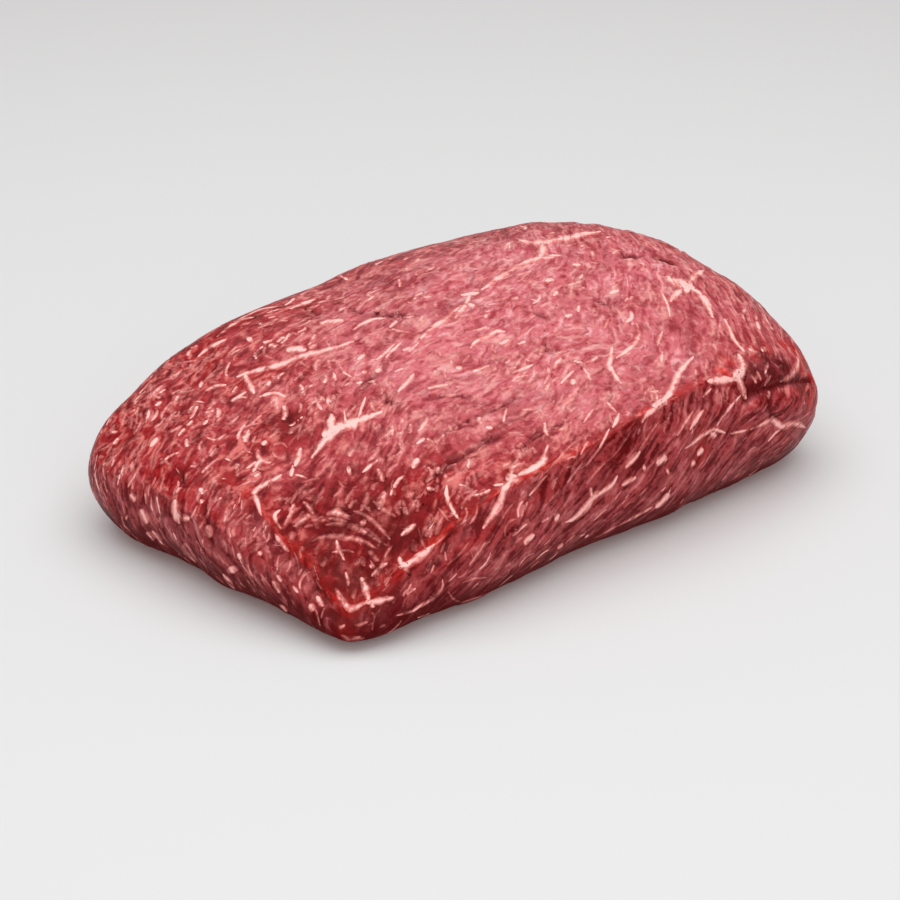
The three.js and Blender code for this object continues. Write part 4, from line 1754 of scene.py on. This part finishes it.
@dataclass(frozen=True)
class Marbling:
    """Flecks of fat inside the muscle, scattered by rule over all sides but the resting face."""

    name: str
    kinds: tuple[Kind, ...]
    seed: int
    across: int = 3
    height: float = 0.1
    keep_off_seams: float = 1.4
    length_on_sides: float = 0.8
    width_on_sides: float = 0.52
    stray_on_sides: float = 0.4
    tip: float = 0.14  # the share of the width at both ends
    skew: float = 0.35  # how far the widest place may lie from the middle
    bluntness: float = 2.4  # the higher, the wider the part at full width
    fullness: float = 0.6  # the lower, the blunter the ends

    # How thickly the flecks lie on each side, and in the clumps that they form.
    on_top: float = 0.45
    more_at_left: float = 0.75
    left_fade: Fade = (40.0, -60.0)
    on_sides: float = 0.4
    more_away: float = 0.6
    back_fade: Fade = (0.1, 0.5)
    end_fade: Fade = (0.3, 0.7)
    top_fade: Fade = (0.35, 0.7)
    clump_size: float = 17.0
    between_clumps: float = 0.45
    more_in_clumps: float = 1.1
    clump_fade: Fade = (-0.5, 0.5)
    lowest: float = 2.5
    under_most: float = -0.6  # no fleck lies where the surface faces down more than this

    def crowding(self, centres: np.ndarray, normals: np.ndarray) -> np.ndarray:
        """How thickly flecks lie at places: most at the top's left, fewest on the sides."""
        top = smooth_step(normals[:, 2], *self.top_fade)
        left = smooth_step(centres[:, 0] / MM, *self.left_fade)
        at_back = smooth_step(normals[:, 1], *self.back_fade)
        away = np.maximum(at_back, smooth_step(np.abs(normals[:, 0]), *self.end_fade))
        crowd = top * (self.on_top + self.more_at_left * left)
        crowd = crowd + (1.0 - top) * (self.on_sides + self.more_away * away)
        clouds = cloudy(centres / MM, self.clump_size, self.seed)
        clumps = self.between_clumps + self.more_in_clumps * smooth_step(clouds, *self.clump_fade)
        on_show = (centres[:, 2] > self.lowest * MM) & (normals[:, 2] > self.under_most)
        return crowd * clumps * on_show

    def fleck(self, flesh: Flesh, place: np.ndarray, kind: Kind,
              rng: np.random.Generator) -> tuple[np.ndarray, np.ndarray]:
        """The line and half widths, in metres, of one fleck at a place."""
        spot, normal, vertex = flesh.surface.nearest(place)
        zone = Zone(int(flesh.surface.zones[vertex]))
        run = flesh.grain.direction(spot / MM, normal, zone)
        side = np.cross(normal, run)
        stray = math.radians(rng.normal(0.0, kind.stray_deg))
        length = rng.uniform(*kind.length) * MM
        width = rng.uniform(*kind.width) * MM
        if zone is not Zone.TOP:
            stray *= self.stray_on_sides
            length *= self.length_on_sides
            width *= self.width_on_sides
        turned = math.cos(stray) * run + math.sin(stray) * side
        side = math.cos(stray) * side - math.sin(stray) * run
        share = np.linspace(-1.0, 1.0, kind.rows)
        way = share * length / 2
        bend = rng.normal(0.0, kind.bend) / MM
        middles = spot + way[:, None] * turned + (bend * way**2)[:, None] * side
        skew = rng.uniform(-self.skew, self.skew)
        profile = (1.0 - np.abs(share) ** self.bluntness) ** self.fullness * (1.0 + skew * share)
        return middles, width / 2 * at_least(self.tip, profile)

    def build(self, flesh: Flesh, seams: bpy.types.Object) -> bpy.types.Object:
        """Scatters the flecks and joins them.

        Args:
            flesh: The finished meat.
            seams: The seams, which the flecks keep off.

        Returns:
            The piece.
        """
        surface = flesh.surface
        maker = FatMaker(self.name, flesh, self.across)
        rng = np.random.default_rng(self.seed)
        crowd = self.crowding(surface.centres, surface.normals) * surface.areas
        seam_tree = BVHTree.FromObject(seams, bpy.context.evaluated_depsgraph_get())
        for kind in self.kinds:
            count = int(kind.crowd * crowd.sum())
            picks = rng.choice(len(crowd), count, p=crowd / crowd.sum())
            for face in picks:
                place = surface.centres[face]
                if seam_tree.find_nearest(Vector(place), self.keep_off_seams * MM)[0] is not None:
                    continue
                middles, half = self.fleck(flesh, place, kind, rng)
                maker.lay(middles, half, self.height * MM, rng.uniform(*kind.richness))
        return maker.build()


class Lamp(NamedTuple):
    """A square soft light that faces the roast: its name, place, side and power in watts."""

    name: str
    place: Triple
    size: float
    watts: float

    def build(self) -> None:
        """Hangs the lamp."""
        data = bpy.data.lights.new(self.name, "AREA")
        data.shape = "SQUARE"
        data.size = self.size * MM
        data.energy = self.watts
        lamp = bpy.data.objects.new(self.name, data)
        lamp.location = Vector(self.place) * MM
        lamp.rotation_euler = Vector(self.place).to_track_quat("Z", "Y").to_euler()
        bpy.context.scene.collection.objects.link(lamp)


@dataclass(frozen=True)
class Studio:
    """A plain pale floor, which glows faintly with painted warm light, under soft light from above and
    from the front.
    """

    floor_size: float = 6000.0
    floor_colour: str = "#d4dadb"
    floor_roughness: float = 0.6
    floor_painted_glow: float = 0.085  # painted light: the floor glows faintly, which keeps the shadow at the foot pale; its warm colour stands in for the meat's red light thrown on the floor
    painted_glow_colour: str = "#ffbab2"
    sky_colour: str = "#f6f5f4"
    sky_strength: float = 0.46
    lamps: tuple[Lamp, ...] = (
        Lamp("overhead", (40.0, 40.0, 900.0), 1400.0, 8.6),
        Lamp("front_fill", (-620.0, -820.0, 360.0), 1000.0, 4.6),
    )

    def build(self) -> None:
        """Adds the floor, the sky and the lights."""
        deselect_all()
        bpy.ops.mesh.primitive_plane_add(size=self.floor_size * MM, location=(0.0, 0.0, 0.0))
        floor = bpy.context.object
        floor.name = "floor"
        material = bpy.data.materials.new("pale_floor")
        material.use_nodes = True
        paint = material.node_tree.nodes["Principled BSDF"]
        paint.inputs["Base Color"].default_value = linear(self.floor_colour)
        paint.inputs["Roughness"].default_value = self.floor_roughness
        # The painted glow of the floor, warm like the meat's thrown light.
        paint.inputs["Emission Color"].default_value = linear(self.painted_glow_colour)
        paint.inputs["Emission Strength"].default_value = self.floor_painted_glow
        floor.data.materials.append(material)
        world = bpy.data.worlds.new("studio")
        world.use_nodes = True
        sky = world.node_tree.nodes["Background"]
        sky.inputs["Color"].default_value = linear(self.sky_colour)
        sky.inputs["Strength"].default_value = self.sky_strength
        bpy.context.scene.world = world
        bpy.context.scene.view_settings.view_transform = "Standard"
        for lamp in self.lamps:
            lamp.build()


def report(piece: bpy.types.Object) -> None:
    """Says how many triangles a piece has."""
    LOG.info("%s: %d triangles", piece.name, sum(len(face.vertices) - 2 for face in piece.data.polygons))


def main() -> None:
    """Builds the view, the meat, its fat and the studio, and reports each piece."""
    logging.basicConfig(level=logging.INFO, format="%(name)s: %(message)s")
    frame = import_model()
    view = PhotoView()
    view.build()
    sides = Sides(view)
    grain = Grain()
    beef = RawBeef().build()

    meat = Meat(sides, grain)
    body = meat.build(frame["nodes"]["roast"])
    gaps = meat.raise_relief(body)
    surface = meat.colour(body, gaps)
    body.data.materials.append(beef)
    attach(body, "root")
    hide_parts("roast")
    report(body)

    flesh = Flesh(body, surface, grain, beef)
    seams = FatSeams(sides).build(flesh)
    report(seams)
    for name, kinds, seed in (
        ("fat_flecks", (STREAKS, DOTS, HOOKS), 41),
        ("fat_specks", (SPECKS, THREADS, HAIRS), 42),
    ):
        report(Marbling(name, kinds, seed).build(flesh, seams))
    Studio().build()


if __name__ == "__main__":
    main()
